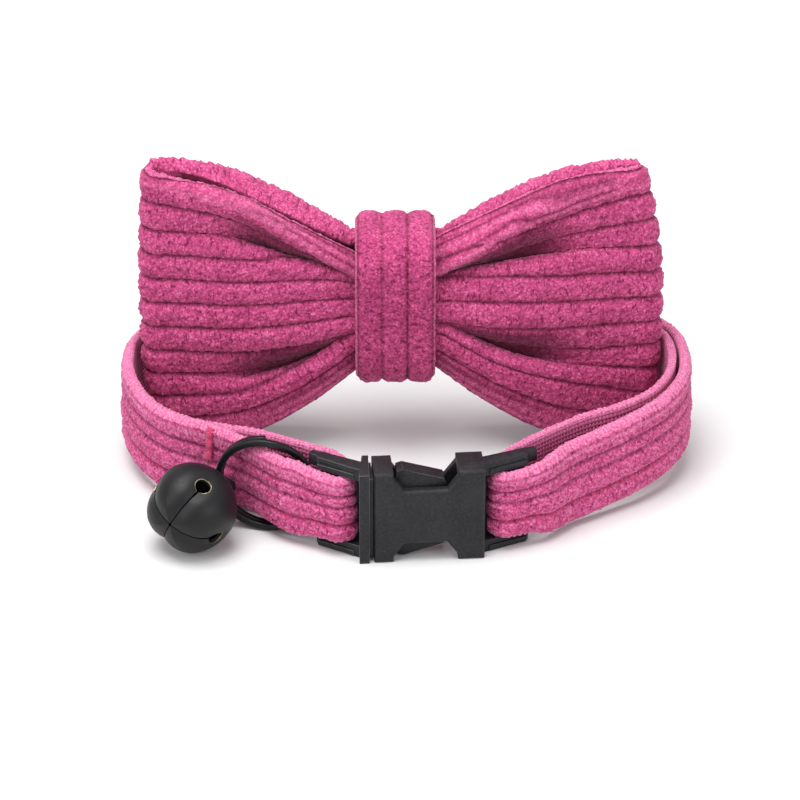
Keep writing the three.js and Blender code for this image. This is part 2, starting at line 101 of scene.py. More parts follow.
def placed(name, data):
    thing = bpy.data.objects.new(name, data)
    bpy.context.scene.collection.objects.link(thing)
    return thing


# Camera at the photograph's angle
VIEW_TURN = math.radians(5)
VIEW_DOWN = math.radians(28)
VIEW_FAR = 550
VIEW_AT = (0, 0, 20)
LENS = 162.7


def make_camera():
    ahead = Vector(
        (
            math.sin(VIEW_TURN) * math.cos(VIEW_DOWN),
            math.cos(VIEW_TURN) * math.cos(VIEW_DOWN),
            -math.sin(VIEW_DOWN),
        )
    )
    lens = bpy.data.cameras.new("camera")
    lens.sensor_width = 36
    lens.lens = LENS
    camera = placed("camera", lens)
    camera.location = Vector(in_frame(VIEW_AT)) - ahead * VIEW_FAR * MM
    camera.rotation_euler = ahead.to_track_quat("-Z", "Y").to_euler()
    bpy.context.scene.camera = camera


# Colours as they look, turned to the renderer's linear values
def paint(red, green, blue):
    values = []
    for value in (red, green, blue):
        share = value / 255
        values.append(share / 12.92 if share < 0.04045 else ((share + 0.055) / 1.055) ** 2.4)
    return (*values, 1)


PINK_DEEP = paint(124, 36, 76)
PINK = paint(190, 74, 124)
PINK_BRIGHT = paint(227, 141, 183)
# Painted shade: the dark pink that grooves, folds and gaps are darkened towards
PINK_PAINTED_SHADE = paint(66, 6, 28)
# Pale rims and edges of the cloth, and painted highlights on the bow's fold ridge and narrow ribs
PINK_EDGE_AND_HIGHLIGHT = paint(238, 160, 196)
PINK_WOVEN = paint(206, 100, 148)
PINK_GAP = paint(92, 26, 60)
TACK_RED = paint(202, 50, 102)
BLACK_MOULDED = paint(18, 18, 21)
BLACK_PALE = paint(58, 58, 62)
# Painted highlight along the buckle's softened edges
BLACK_EDGE_HIGHLIGHT = paint(104, 102, 102)
BLACK_LACQUER = paint(20, 20, 22)
BRASS = paint(206, 190, 150)
STEEL = paint(150, 150, 154)
STEEL_DULL = paint(110, 110, 114)


# Small helpers for shader trees
def link(tree, a, b):
    tree.links.new(a, b)


def add(tree, kind, **values):
    node = tree.nodes.new(kind)
    for key, value in values.items():
        setattr(node, key, value)
    return node


def math_node(tree, operation, first, second=None):
    node = add(tree, "ShaderNodeMath", operation=operation)
    for slot, value in enumerate((first, second)):
        if value is None:
            continue
        if isinstance(value, (int, float)):
            node.inputs[slot].default_value = value
        else:
            link(tree, value, node.inputs[slot])
    return node.outputs[0]


# Sum of values, each with its weight
def weighted(tree, *parts):
    terms = [math_node(tree, "MULTIPLY", value, weight) for value, weight in parts]
    total = terms[0]
    for term in terms[1:]:
        total = math_node(tree, "ADD", total, term)
    return total


def mix_colour(tree, share, first, second):
    node = add(tree, "ShaderNodeMix", data_type="RGBA")
    for slot, value in ((0, share), (6, first), (7, second)):
        if isinstance(value, (int, float, tuple)):
            node.inputs[slot].default_value = value
        else:
            link(tree, value, node.inputs[slot])
    return node.outputs[2]


# Share of the way from low to high, held between nothing and all
def spread(tree, value, low, high):
    node = add(tree, "ShaderNodeMapRange")
    link(tree, value, node.inputs[0])
    node.inputs[1].default_value = low
    node.inputs[2].default_value = high
    return node.outputs[0]


def new_group(name, inputs, outputs):
    group = bpy.data.node_groups.new(name, "ShaderNodeTree")
    for label, kind, value in inputs:
        socket = group.interface.new_socket(label, in_out="INPUT", socket_type=kind)
        if value is not None:
            socket.default_value = value
    for label, kind in outputs:
        group.interface.new_socket(label, in_out="OUTPUT", socket_type=kind)
    return group, group.nodes.new("NodeGroupInput"), group.nodes.new("NodeGroupOutput")


def use_group(tree, group, **values):
    node = add(tree, "ShaderNodeGroup", node_tree=group)
    for label, value in values.items():
        socket = node.inputs[label]
        if isinstance(value, (int, float, tuple)):
            socket.default_value = value
        else:
            link(tree, value, socket)
    return node


# Cut pile: fine tips, small tufts, short wavy cracks across each rib, and painted shade that darkens the
# grooves between ribs and the folds
def pile_group():
    group, given, made = new_group(
        "cut pile",
        (
            ("Cloth", "NodeSocketVector", None),
            ("Tuft", "NodeSocketFloat", 0.5),
            ("Painted shade", "NodeSocketFloat", 0.0),
            ("Grain", "NodeSocketFloat", 3900.0),
            ("Cell", "NodeSocketFloat", 2300.0),
            ("Lift", "NodeSocketFloat", 0.0),
            ("Drawn", "NodeSocketFloat", 0.0),
        ),
        (("Colour", "NodeSocketColor"), ("Height", "NodeSocketFloat"), ("Tips", "NodeSocketFloat")),
    )
    place = add(group, "ShaderNodeTexCoord").outputs["Object"]
    speck = add(group, "ShaderNodeTexNoise")
    speck.inputs["Detail"].default_value = 2
    link(group, place, speck.inputs["Vector"])
    link(group, given.outputs["Grain"], speck.inputs["Scale"])
    cell = add(group, "ShaderNodeTexVoronoi")
    link(group, place, cell.inputs["Vector"])
    link(group, given.outputs["Cell"], cell.inputs["Scale"])
    cloud = add(group, "ShaderNodeTexNoise")
    cloud.inputs["Scale"].default_value = 240
    link(group, place, cloud.inputs["Vector"])
    across = add(group, "ShaderNodeMapping")
    across.inputs["Scale"].default_value = (2.3, 0.9, 1)
    link(group, given.outputs["Cloth"], across.inputs["Vector"])
    split = add(group, "ShaderNodeTexNoise")
    split.inputs["Scale"].default_value = 1
    split.inputs["Detail"].default_value = 2.5
    split.inputs["Distortion"].default_value = 0.9
    link(group, across.outputs[0], split.inputs["Vector"])
    crack = spread(group, split.outputs["Fac"], 0.42, 0.31)
    slack = math_node(group, "SUBTRACT", 1.0, given.outputs["Drawn"])
    crack = math_node(group, "MULTIPLY", crack, slack)
    dome = math_node(group, "SUBTRACT", 1.0, cell.outputs["Distance"])
    tips = speck.outputs["Fac"]
    height = weighted(group, (dome, 0.34), (tips, 0.5), (given.outputs["Tuft"], 0.2), (crack, -0.37))
    tone = math_node(group, "ADD", height, math_node(group, "MULTIPLY", cloud.outputs["Fac"], 0.16))
    tone = math_node(group, "ADD", tone, given.outputs["Lift"])
    low = mix_colour(group, spread(group, tone, 0.34, 0.66), PINK_DEEP, PINK)
    body = mix_colour(group, spread(group, tone, 0.64, 1.0), low, PINK_BRIGHT)
    # Painted shade darkens the colour in the grooves and folds
    dark = math_node(group, "MULTIPLY", spread(group, given.outputs["Painted shade"], 0.3, 1.0), 0.92)
    link(group, mix_colour(group, dark, body, PINK_PAINTED_SHADE), made.inputs["Colour"])
    link(group, height, made.inputs["Height"])
    link(group, spread(group, tips, 0.3, 0.7), made.inputs["Tips"])
    return group


# Plain weave along a piece's own grid: threads over and under, dark at the crossings
def weave_group():
    group, given, made = new_group(
        "plain weave",
        (
            ("Grid", "NodeSocketVector", None),
            ("Along", "NodeSocketFloat", 400.0),
            ("Across", "NodeSocketFloat", 20.0),
        ),
        (("Thread", "NodeSocketFloat"), ("Gap", "NodeSocketFloat")),
    )
    parts = add(group, "ShaderNodeSeparateXYZ")
    link(group, given.outputs["Grid"], parts.inputs[0])
    warp = math_node(group, "MULTIPLY", parts.outputs["X"], given.outputs["Along"])
    weft = math_node(group, "MULTIPLY", parts.outputs["Y"], given.outputs["Across"])
    a = math_node(group, "SINE", math_node(group, "MULTIPLY", warp, math.pi))
    b = math_node(group, "SINE", math_node(group, "MULTIPLY", weft, math.pi))
    both = math_node(group, "MULTIPLY", a, b)
    over = math_node(group, "ABSOLUTE", a)
    under = math_node(group, "ABSOLUTE", b)
    thread = math_node(group, "MULTIPLY", over, under)
    lift = math_node(group, "ADD", thread, math_node(group, "MULTIPLY", both, 0.35))
    link(group, lift, made.inputs["Thread"])
    hole = math_node(group, "SUBTRACT", 1.0, math_node(group, "MAXIMUM", over, under))
    link(group, spread(group, hole, 0.1, 0.5), made.inputs["Gap"])
    return group


# Fine mottle of a moulded or painted surface
def mottle_group():
    group, given, made = new_group(
        "mottle",
        (("Grain", "NodeSocketFloat", 1500.0), ("Patch", "NodeSocketFloat", 160.0)),
        (("Fine", "NodeSocketFloat"), ("Broad", "NodeSocketFloat")),
    )
    place = add(group, "ShaderNodeTexCoord").outputs["Object"]
    for label, source, detail in (("Fine", "Grain", 2), ("Broad", "Patch", 4)):
        noise = add(group, "ShaderNodeTexNoise")
        noise.inputs["Detail"].default_value = detail
        link(group, place, noise.inputs["Vector"])
        link(group, given.outputs[source], noise.inputs["Scale"])
        link(group, noise.outputs["Fac"], made.inputs[label])
    return group


PILE = pile_group()
WEAVE = weave_group()
MOTTLE = mottle_group()


# Materials: each finish reads the groups above with its own values
def new_material(name):
    material = bpy.data.materials.new(name)
    material.use_nodes = True
    tree = material.node_tree
    shader = tree.nodes["Principled BSDF"]
    return material, tree, shader


def bump(tree, shader, height, strength, distance):
    node = add(tree, "ShaderNodeBump")
    node.inputs["Strength"].default_value = strength
    node.inputs["Distance"].default_value = distance * MM
    link(tree, height, node.inputs["Height"])
    link(tree, node.outputs[0], shader.inputs["Normal"])


def attribute(tree, name):
    return add(tree, "ShaderNodeAttribute", attribute_name=name).outputs["Fac"]


# Corduroy for a cloth so long and so far round its section, in millimetres, paler with more lift
def corduroy(name, long, wide, lift=0.0):
    material, tree, shader = new_material(name)
    grid = add(tree, "ShaderNodeUVMap", uv_map="cloth").outputs[0]
    cloth = add(tree, "ShaderNodeVectorMath", operation="MULTIPLY")
    cloth.inputs[1].default_value = (long, wide, 0)
    link(tree, grid, cloth.inputs[0])
    tuft, groove = attribute(tree, "tuft"), attribute(tree, "groove")
    marked = {"Tuft": tuft, "Painted shade": groove, "Drawn": attribute(tree, "drawn")}
    pile = use_group(tree, PILE, Cloth=cloth.outputs[0], Lift=lift, **marked)
    weave = use_group(tree, WEAVE, Grid=cloth.outputs[0], Along=1 / WARP, Across=1 / WEFT)
    threads = mix_colour(tree, weave.outputs["Gap"], PINK_WOVEN, PINK_GAP)
    woven = attribute(tree, "woven")
    # Pale rims and edges of the cloth, and on the bow also painted highlights along its fold ridge and
    # narrow ribs
    edge = attribute(tree, "edge")
    colour = mix_colour(tree, woven, pile.outputs["Colour"], threads)
    bright = mix_colour(tree, pile.outputs["Tips"], PINK, PINK_EDGE_AND_HIGHLIGHT)
    colour = mix_colour(tree, edge, colour, bright)
    colour = mix_colour(tree, attribute(tree, "seam"), colour, TACK_RED)
    link(tree, colour, shader.inputs["Base Color"])
    height = add(tree, "ShaderNodeMix", data_type="FLOAT")
    link(tree, woven, height.inputs[0])
    link(tree, pile.outputs["Height"], height.inputs[2])
    link(tree, weave.outputs["Thread"], height.inputs[3])
    bump(tree, shader, height.outputs[0], 0.55, 0.3)
    shader.inputs["Roughness"].default_value = 0.92
    shader.inputs["Specular IOR Level"].default_value = 0.15
    shader.inputs["Sheen Weight"].default_value = 0.2
    shader.inputs["Sheen Roughness"].default_value = 0.45
    shader.inputs["Sheen Tint"].default_value = (1.0, 0.62, 0.82, 1)
    return material


def thread(name, colour):
    material, tree, shader = new_material(name)
    mottle = use_group(tree, MOTTLE, Grain=2400.0, Patch=500.0)
    shade = mix_colour(tree, spread(tree, mottle.outputs["Fine"], 0.2, 0.5), PINK_DEEP, colour)
    link(tree, shade, shader.inputs["Base Color"])
    bump(tree, shader, mottle.outputs["Fine"], 0.4, 0.1)
    shader.inputs["Roughness"].default_value = 0.75
    shader.inputs["Sheen Weight"].default_value = 0.25
    return material


def moulded(name):
    material, tree, shader = new_material(name)
    mottle = use_group(tree, MOTTLE, Grain=2200.0, Patch=180.0)
    colour = mix_colour(tree, spread(tree, mottle.outputs["Broad"], 0.3, 0.8), BLACK_MOULDED, BLACK_PALE)
    colour = mix_colour(tree, 0.72, colour, BLACK_MOULDED)
    speck = math_node(tree, "MULTIPLY", spread(tree, mottle.outputs["Fine"], 0.42, 0.8), 0.4)
    colour = mix_colour(tree, speck, colour, BLACK_PALE)
    # Painted highlight in patches along the softened edges
    patchy = spread(tree, mottle.outputs["Broad"], 0.3, 0.62)
    edge_highlight = math_node(tree, "MULTIPLY", attribute(tree, "wear_and_highlight"), patchy)
    colour = mix_colour(tree, math_node(tree, "MULTIPLY", edge_highlight, 0.8), colour, BLACK_EDGE_HIGHLIGHT)
    link(tree, colour, shader.inputs["Base Color"])
    rough = math_node(tree, "ADD", math_node(tree, "MULTIPLY", mottle.outputs["Fine"], 0.2), 0.38)
    link(tree, rough, shader.inputs["Roughness"])
    bump(tree, shader, mottle.outputs["Fine"], 0.4, 0.06)
    shader.inputs["Specular IOR Level"].default_value = 0.28
    return material


def lacquer(name, roughness):
    material, tree, shader = new_material(name)
    mottle = use_group(tree, MOTTLE, Grain=1700.0, Patch=220.0)
    wear_and_highlight = attribute(tree, "wear_and_highlight")
    ragged = math_node(tree, "ADD", wear_and_highlight, math_node(tree, "MULTIPLY", mottle.outputs["Broad"], 0.7))
    bare = spread(tree, ragged, 1.02, 1.2)
    link(tree, mix_colour(tree, bare, BLACK_LACQUER, BRASS), shader.inputs["Base Color"])
    rough = math_node(tree, "ADD", math_node(tree, "MULTIPLY", mottle.outputs["Fine"], 0.22), roughness)
    link(tree, rough, shader.inputs["Roughness"])
    link(tree, bare, shader.inputs["Metallic"])
    bump(tree, shader, mottle.outputs["Fine"], 0.2, 0.04)
    shader.inputs["Specular IOR Level"].default_value = 0.26
    return material


def steel(name):
    material, tree, shader = new_material(name)
    mottle = use_group(tree, MOTTLE, Grain=1200.0, Patch=300.0)
    shade = mix_colour(tree, mottle.outputs["Broad"], STEEL, STEEL_DULL)
    link(tree, shade, shader.inputs["Base Color"])
    shader.inputs["Metallic"].default_value = 1
    shader.inputs["Roughness"].default_value = 0.4
    return material


# Finish a piece: give it its material, ride it on the one body, and hide the nodes it stands for
def keep(piece, material, slot, *nodes):
    piece.data.materials.clear()
    piece.data.materials.append(material)
    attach(piece, "root")
    if nodes:
        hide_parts(*nodes)
    return piece


# Piece from an edited mesh, shaded smooth apart from edges sharper than a given angle
def smooth_piece(name, bm, mesh, sharp=None):
    bmesh.ops.recalc_face_normals(bm, faces=bm.faces)
    for face in bm.faces:
        face.smooth = True
    bm.to_mesh(mesh)
    bm.free()
    if sharp is not None:
        mesh.set_sharp_from_angle(angle=sharp)
    return placed(name, mesh)


# Grid of columns and rows laid out by a function of their numbers, its seams merged
def laid_grid(name, columns, rows, place, marks=None, capped=False):
    bm = bmesh.new()
    bm.loops.layers.uv.new("cloth")
    bmesh.ops.create_grid(bm, x_segments=columns, y_segments=rows, size=0.5, calc_uvs=True)
    mesh = bpy.data.meshes.new(name)
    bm.to_mesh(mesh)
    bm.free()
    flat = np.empty(len(mesh.vertices) * 3)
    mesh.vertices.foreach_get("co", flat)
    flat = flat.reshape(-1, 3) + 0.5
    column = np.rint(flat[:, 0] * columns).astype(int)
    row = np.rint(flat[:, 1] * rows).astype(int)
    mesh.vertices.foreach_set("co", in_frame(place(column, row)).ravel())
    for label, values in (marks(column, row) if marks else {}).items():
        layer = mesh.attributes.new(label, "FLOAT", "POINT")
        layer.data.foreach_set("value", np.ascontiguousarray(values, dtype=np.float32))
    bm = bmesh.new()
    bm.from_mesh(mesh)
    bmesh.ops.remove_doubles(bm, verts=bm.verts, dist=SAME_POINT * MM)
    if capped:
        rim = [edge for edge in bm.edges if edge.is_boundary]
        bmesh.ops.holes_fill(bm, edges=rim, sides=0)
    return smooth_piece(name, bm, mesh)


# Section of a wall, row by row: up its outer face, over the rim, down its inner face, under the rim
class Wall:
    def __init__(self, outer, inner, rim):
        steps = np.arange(rim) / rim * math.pi
        rows, back = len(outer), len(inner)
        parts = (
            (outer, np.ones(rows), np.zeros(rows)),
            (np.ones(rim), np.cos(steps), np.sin(steps)),
            (inner, -np.ones(back), np.zeros(back)),
            (-np.ones(rim), -np.cos(steps), -np.sin(steps)),
        )
        self.across, self.face, self.over = (np.concatenate(kind) for kind in zip(*parts))
        self.rows = len(self.across)

    def at(self, row):
        row = row % self.rows
        return self.across[row], self.face[row], self.over[row]


def even(first, last, rows):
    return np.linspace(first, last, rows, endpoint=False)


# Pile tufts: a seeded height for every crossing of a grid, in clumps
def tufts(columns, rows, seed):
    chance = np.random.RandomState(seed)
    single = chance.rand(columns, rows)
    clump = chance.rand(columns // 2 + 1, rows // 2 + 1)
    i = np.arange(columns) // 2
    k = np.arange(rows) // 2
    return 0.6 * single + 0.4 * clump[np.ix_(i, k)]


# Slow unevenness along a length in millimetres
def waver(along, number):
    return (
        np.sin(0.83 * along + 1.7 * number)
        + 0.6 * np.sin(1.91 * along + 2.9 * number)
        + 0.5 * np.sin(3.7 * along + 0.8 * number)
    )


# Stitches along a length: a beat about a middle share, up to all
def stitches(along, step, middle, start=0):
    return middle + (1 - middle) * np.sin(2 * math.pi * along / step + start)


# Narrow line at a place, fading to both sides
def line_at(value, place, half):
    return np.exp(-(((value - place) / half) ** 2))


# Everything that the corduroy reads from a cloth, with nothing where nothing is given
def cloth_marks(tuft, **given):
    marks = {name: np.zeros(len(tuft)) for name in ("groove", "edge", "woven", "seam", "drawn")}
    return {"tuft": tuft, **marks, **given}


# Plump ribs between grooves that are given as places across the cloth
RIB_SQUARE = 2.7
RIB_FULL = 0.62
GROOVE_WAVER = 0.0022


def ribs_between(grooves, across, along):
    grooves = np.array(grooves)
    across = np.clip(across, -1, 1)
    number = np.rint(np.interp(across, grooves, np.arange(len(grooves))))
    free = (number > 0) & (number < len(grooves) - 1)
    across = across + np.where(free, GROOVE_WAVER * waver(along, number), 0)
    spot = np.clip(np.searchsorted(grooves, across, side="right") - 1, 0, len(grooves) - 2)
    part = np.clip((across - grooves[spot]) / (grooves[spot + 1] - grooves[spot]), 0, 1)
    wide = (grooves[spot + 1] - grooves[spot]) / np.max(np.diff(grooves))
    round_off = np.power(1 - np.power(np.abs(2 * part - 1), RIB_SQUARE), RIB_FULL)
    return round_off * np.sqrt(wide)


def unit(vectors):
    return vectors / np.maximum(np.linalg.norm(vectors, axis=-1, keepdims=True), 1e-9)


# Smooth curve through given points, evenly eased between them
def smooth_curve(points, steps):
    points = np.array(points, dtype=float)
    ends = np.vstack((2 * points[0] - points[1], points, 2 * points[-1] - points[-2]))
    p0, p1, p2, p3 = ends[:-3], ends[1:-2], ends[2:-1], ends[3:]
    pairs = ((p0, p1), (p1, p2), (p2, p3))
    d0, d1, d2 = (np.sqrt(np.linalg.norm(b - a, axis=1))[:, None] for a, b in pairs)
    start = ((p1 - p0) / d0 - (p2 - p0) / (d0 + d1) + (p2 - p1) / d1) * d1
    finish = ((p2 - p1) / d1 - (p3 - p1) / (d1 + d2) + (p3 - p2) / d2) * d1
    t = (np.arange(steps) / steps)[None, :, None]
    a, b, m, n = (q[:, None, :] for q in (p1, p2, start, finish))
    line = a + m * t + (3 * (b - a) - 2 * m - n) * t**2 + (2 * (a - b) + m + n) * t**3
    return np.vstack((line.reshape(-1, points.shape[1]), points[-1:]))


# Circle pushed out towards its corners
def squared_circle(turn):
    c, s = np.cos(turn), np.sin(turn)
    soft = np.power(c**4 + s**4, 0.25)
    return c / soft, s / soft


def ease(value, low, high):
    share = np.clip((value - low) / (high - low), 0, 1)
    return share * share * (3 - 2 * share)


# Folds of the bow's front from its top edge down: place at the knot and out on the wing, in wales from
# the top edge, depth behind the ridges, then height above the bow's middle at four places along the wing
FOLD_STATIONS = (0.18, 0.45, 0.7, 1.0)
LEFT_FOLDS = np.array(
    (
        (0.0, 0.0, 2.4, 8.4, 15.7, 20.8, 23.5),
        (0.7, 0.15, 0.0, 5.7, 14.0, 20.5, 23.0),
        (2.8, 2.0, 5.0, 5.0, 8.7, 12.9, 14.1),
        (3.9, 2.6, 1.2, 4.5, 8.8, 11.4, 11.5),
        (6.7, 6.6, 0.0, -3.0, -3.8, -4.6, -5.4),
        (8.6, 8.2, 4.6, -6.0, -10.5, -11.5, -11.9),
        (9.3, 9.0, 0.0, -4.5, -10.4, -13.6, -15.2),
        (10.1, 10.1, 0.2, -7.2, -12.9, -17.0, -19.6),
        (11.0, 11.0, 2.2, -10.6, -16.3, -20.7, -23.32),
    )
)
RIGHT_FOLDS = np.array(
    (
        (0.0, 0.0, 3.6, 10.6, 17.3, 21.8, 23.7),
        (1.5, 0.15, 0.0, 6.3, 13.6, 19.9, 23.2),
        (2.9, 2.9, 5.2, 4.6, 7.4, 10.0, 11.3),
        (4.1, 3.4, 1.2, 4.3, 7.7, 9.3, 9.0),
        (5.7, 5.8, 0.0, -1.2, -1.1, -1.1, -1.5),
        (7.9, 7.5, 4.6, -4.6, -8.4, -8.8, -8.4),
        (8.8, 8.9, 0.0, -3.2, -8.2, -11.1, -14.3),
        (10.1, 10.1, 0.2, -7.4, -12.6, -16.6, -19.5),
        (11.0, 11.0, 2.2, -10.6, -16.3, -20.7, -23.32),
    )
)
BOW_FRONT = 38.0
BOW_FOLD = 8.0
BOW_ROUND = 4 * BOW_FRONT + 2 * BOW_FOLD
FOLD_TIGHT = 1.2
FOLD_OUT = 1.7
LEFT_STEP = 0.75
RIGHT_STEP = 0.1
TOP_IN_LEFT = 1.0
TOP_IN_RIGHT = 3.4
LOW_IN = 5.2
BOW_BELLY = 1.4
BOW_TUFT = 0.6
BOW_TUFT_INSIDE = 0.36
BOW_COLUMNS = 420
BOW_INNER = np.concatenate((even(1, 0.7, 26), even(0.7, -1, 26)))
BOW_WALL = Wall(even(-1, 1, 132), BOW_INNER, 8)
BOW_ROW = 0.353
BOW_TUFTS = tufts(BOW_COLUMNS, BOW_WALL.rows, 11)
BOW_GROOVES = np.linspace(-1, 1, BOW_WALES + 1)
STITCH = 1.25

# Rows of the fold tables that the shade goes by
TOP_RIDGE, TOP_CREASE, LOW_RIDGE, LOW_CREASE = 1, 2, 4, 5
# Narrow ribs of the rolled edges, painted as highlight lines and shade lines: height of the top band and
# places of its grooves, then the low edge's lines and grooves in wales, and the stripes of the right rear
# edge as shares of the half height
LEFT_BAND = 0.3
RIGHT_BAND = 0.64
BAND_GROOVES = (0.3, 0.76)
LOW_LINES = (10.4, 10.75)
LOW_GROOVES = (10.2, 10.58)
REAR_STRIPES = (0.955, 0.905)


def gathered(share):
    return np.power(1 - np.clip((share - 0.2) / 0.8, 0, 1), 1.6)


# How far the front stands out: most at the knot, none at the ends
def stand_share(share):
    return 0.85 * (1 - ease(share, 0.3, 0.86)) + 0.15 * np.power(gathered(share), 0.7)


def on_side(side, left, right):
    return np.where(side < 0, left, right)


def fold_places(folds, share):
    near = 1 - ease(share, 0.15, 0.75)
    return [row[1] + (row[0] - row[1]) * near for row in folds]


def fold_fade(share):
    return 1 - np.clip((share - 0.18) / 0.82, 0, 1)


# Value of a fold at a place across the cloth, between the rows of the table
def between_folds(places, values, wale, soft):
    found = np.zeros(np.shape(wale))
    for k in range(len(places) - 1):
        part = np.clip((wale - places[k]) / (places[k + 1] - places[k]), 0, 1)
        part = part + (ease(part, 0, 1) - part) * soft
        inside = (wale >= places[k]) & (wale <= places[k + 1])
        found = np.where(inside, values[k] + (values[k + 1] - values[k]) * part, found)
    return found


# Depth of the folds, which fade out towards the end of the wing
def fold_depth(folds, share, wale):
    places = fold_places(folds, share)
    return between_folds(places, folds[:, 2], wale, 0.5) * fold_fade(share)


# Height of the front, turning softly from row to row
def fold_height(folds, share, wale):
    places = fold_places(folds, share)
    heights = []
    for row in folds:
        line = smooth_curve(list(zip(FOLD_STATIONS, row[3:] / 20)), 12)
        heights.append(20 * np.interp(share, line[:, 0], line[:, 1]))
    found = 0
    for shift, weight in ((-0.24, 0.25), (0, 0.5), (0.24, 0.25)):
        place = np.abs(wale + shift)
        place = np.where(place > BOW_WALES, 2 * BOW_WALES - place, place)
        turned = (wale + shift < 0) | (wale + shift > BOW_WALES)
        end = np.where(wale + shift < 0, heights[0], heights[-1])
        height = between_folds(places, heights, place, 0)
        found = found + weight * np.where(turned, 2 * end - height, height)
    return found


# Share of a crease's full depth, without the set-back edges
def crease_share(share, side, across):
    wale = (1 - across) * BOW_WALES / 2
    inner = np.ones(len(LEFT_FOLDS))
    inner[[0, -1]] = 0
    found = []
    for folds in (LEFT_FOLDS, RIGHT_FOLDS):
        places = fold_places(folds, share)
        found.append(between_folds(places, folds[:, 2] * inner, wale, 0.5))
    return on_side(side, *found) / LEFT_FOLDS[2, 2]


# Place on a wing for a distance round the loop: share of the wing, side, and turn round its end
def bow_station(along):
    along = np.mod(along, BOW_ROUND)
    half = BOW_ROUND / 2
    side = np.where(along < half, 1.0, -1.0)
    run = np.where(along < half, along, BOW_ROUND - along)
    share = np.clip(np.minimum(run, half - run) / BOW_FRONT, 0, 1)
    turn = np.clip((run - BOW_FRONT) / BOW_FOLD, 0, 1) * math.pi
    return share, side, turn


def bow_half(share):
    half = FOLD_HALF + (1 - FOLD_HALF) * gathered(share)
    return half + (FOLD_TIGHT - half) * ease(share, 0.62, 1)


def bow_front(share):
    belly = BOW_BELLY * np.sin(math.pi * share) * (1 - gathered(share))
    return bow_half(share) + belly + PLEAT_DEEP * stand_share(share)


# Half height of the rear panel, pinched at the knot
def rear_high(share):
    return (BOW_HIGH + (BOW_PINCHED - BOW_HIGH) * gathered(share)) / 2


# Middle of the cloth: the front stands out in folds, the rear is even
def bow_point(along, across):
    share, side, turn = bow_station(along)
    hold = gathered(share)
    high = rear_high(share)
    top_in = on_side(side, TOP_IN_LEFT, TOP_IN_RIGHT)
    inward = np.where(across > 0, top_in * across**2, LOW_IN * across**4)
    reach = on_side(side, BOW_LEFT, BOW_RIGHT) - inward - FOLD_OUT
    wale = (1 - across) * BOW_WALES / 2
    height = on_side(side, fold_height(LEFT_FOLDS, share, wale), fold_height(RIGHT_FOLDS, share, wale))
    depth = on_side(side, fold_depth(LEFT_FOLDS, share, wale), fold_depth(RIGHT_FOLDS, share, wale))
    front = turn < math.pi / 2
    rear = hold * 0.5 * (1 + np.cos(3 * math.pi * across))
    half = bow_half(share)
    x = side * (share * reach + np.sin(turn) * FOLD_OUT)
    y = -half * np.cos(turn) + np.where(front, half - bow_front(share) + depth, rear)
    step = on_side(side, LEFT_STEP, RIGHT_STEP) * (1 - hold) * np.clip(across, 0, 1) ** 2
    z = high * across + (height - high * across) * 0.5 * (1 + np.cos(turn))
    z += KNOT_RISE * hold - step * np.cos(turn)
    return np.stack((x, y, z), axis=-1)


def bow_normal(along, across):
    ahead = bow_point(along + 0.4, across) - bow_point(along - 0.4, across)
    above = bow_point(along, np.minimum(across + 0.012, 1))
    rise = above - bow_point(along, np.maximum(across - 0.012, -1))
    return unit(np.cross(ahead, rise))


def turned_bow(points):
    c, s = math.cos(BOW_TURN), math.sin(BOW_TURN)
    x = c * points[:, 0] - s * points[:, 1]
    y = s * points[:, 0] + c * points[:, 1]
    return np.stack((x, y, points[:, 2]), axis=-1) + np.array(BOW_PLACE)


# How far the rear panel's rolled top stands forward, below its edge
ROLL_BELOW = 1.9
ROLL_RADIUS = 2.3
ROLL_MOST = 5.5
ROLL_CLEAR = 0.5
ROLL_SHARE = 0.92


def rear_roll(share, side, across):
    back = on_side(side, LEFT_FOLDS[0, 2], RIGHT_FOLDS[0, 2]) * fold_fade(share)
    room = bow_half(share) + bow_front(share) - back - CLOTH - ROLL_CLEAR
    below = (1 - across) * BOW_HIGH / 2
    roll = np.sqrt(np.clip(1 - ((below - ROLL_BELOW) / ROLL_RADIUS) ** 2, 0, 1))
    return ROLL_SHARE * np.clip(room, 0, ROLL_MOST) * roll


# Crossing of the bow's grid: distance round the loop, wales from the top edge, and height of its tuft
def bow_crossing(column, row):
    column = column % BOW_COLUMNS
    along = column / BOW_COLUMNS * BOW_ROUND
    wale = (1 - BOW_WALL.at(row)[0]) * BOW_WALES / 2
    return along, wale, BOW_TUFTS[column, row % BOW_WALL.rows]


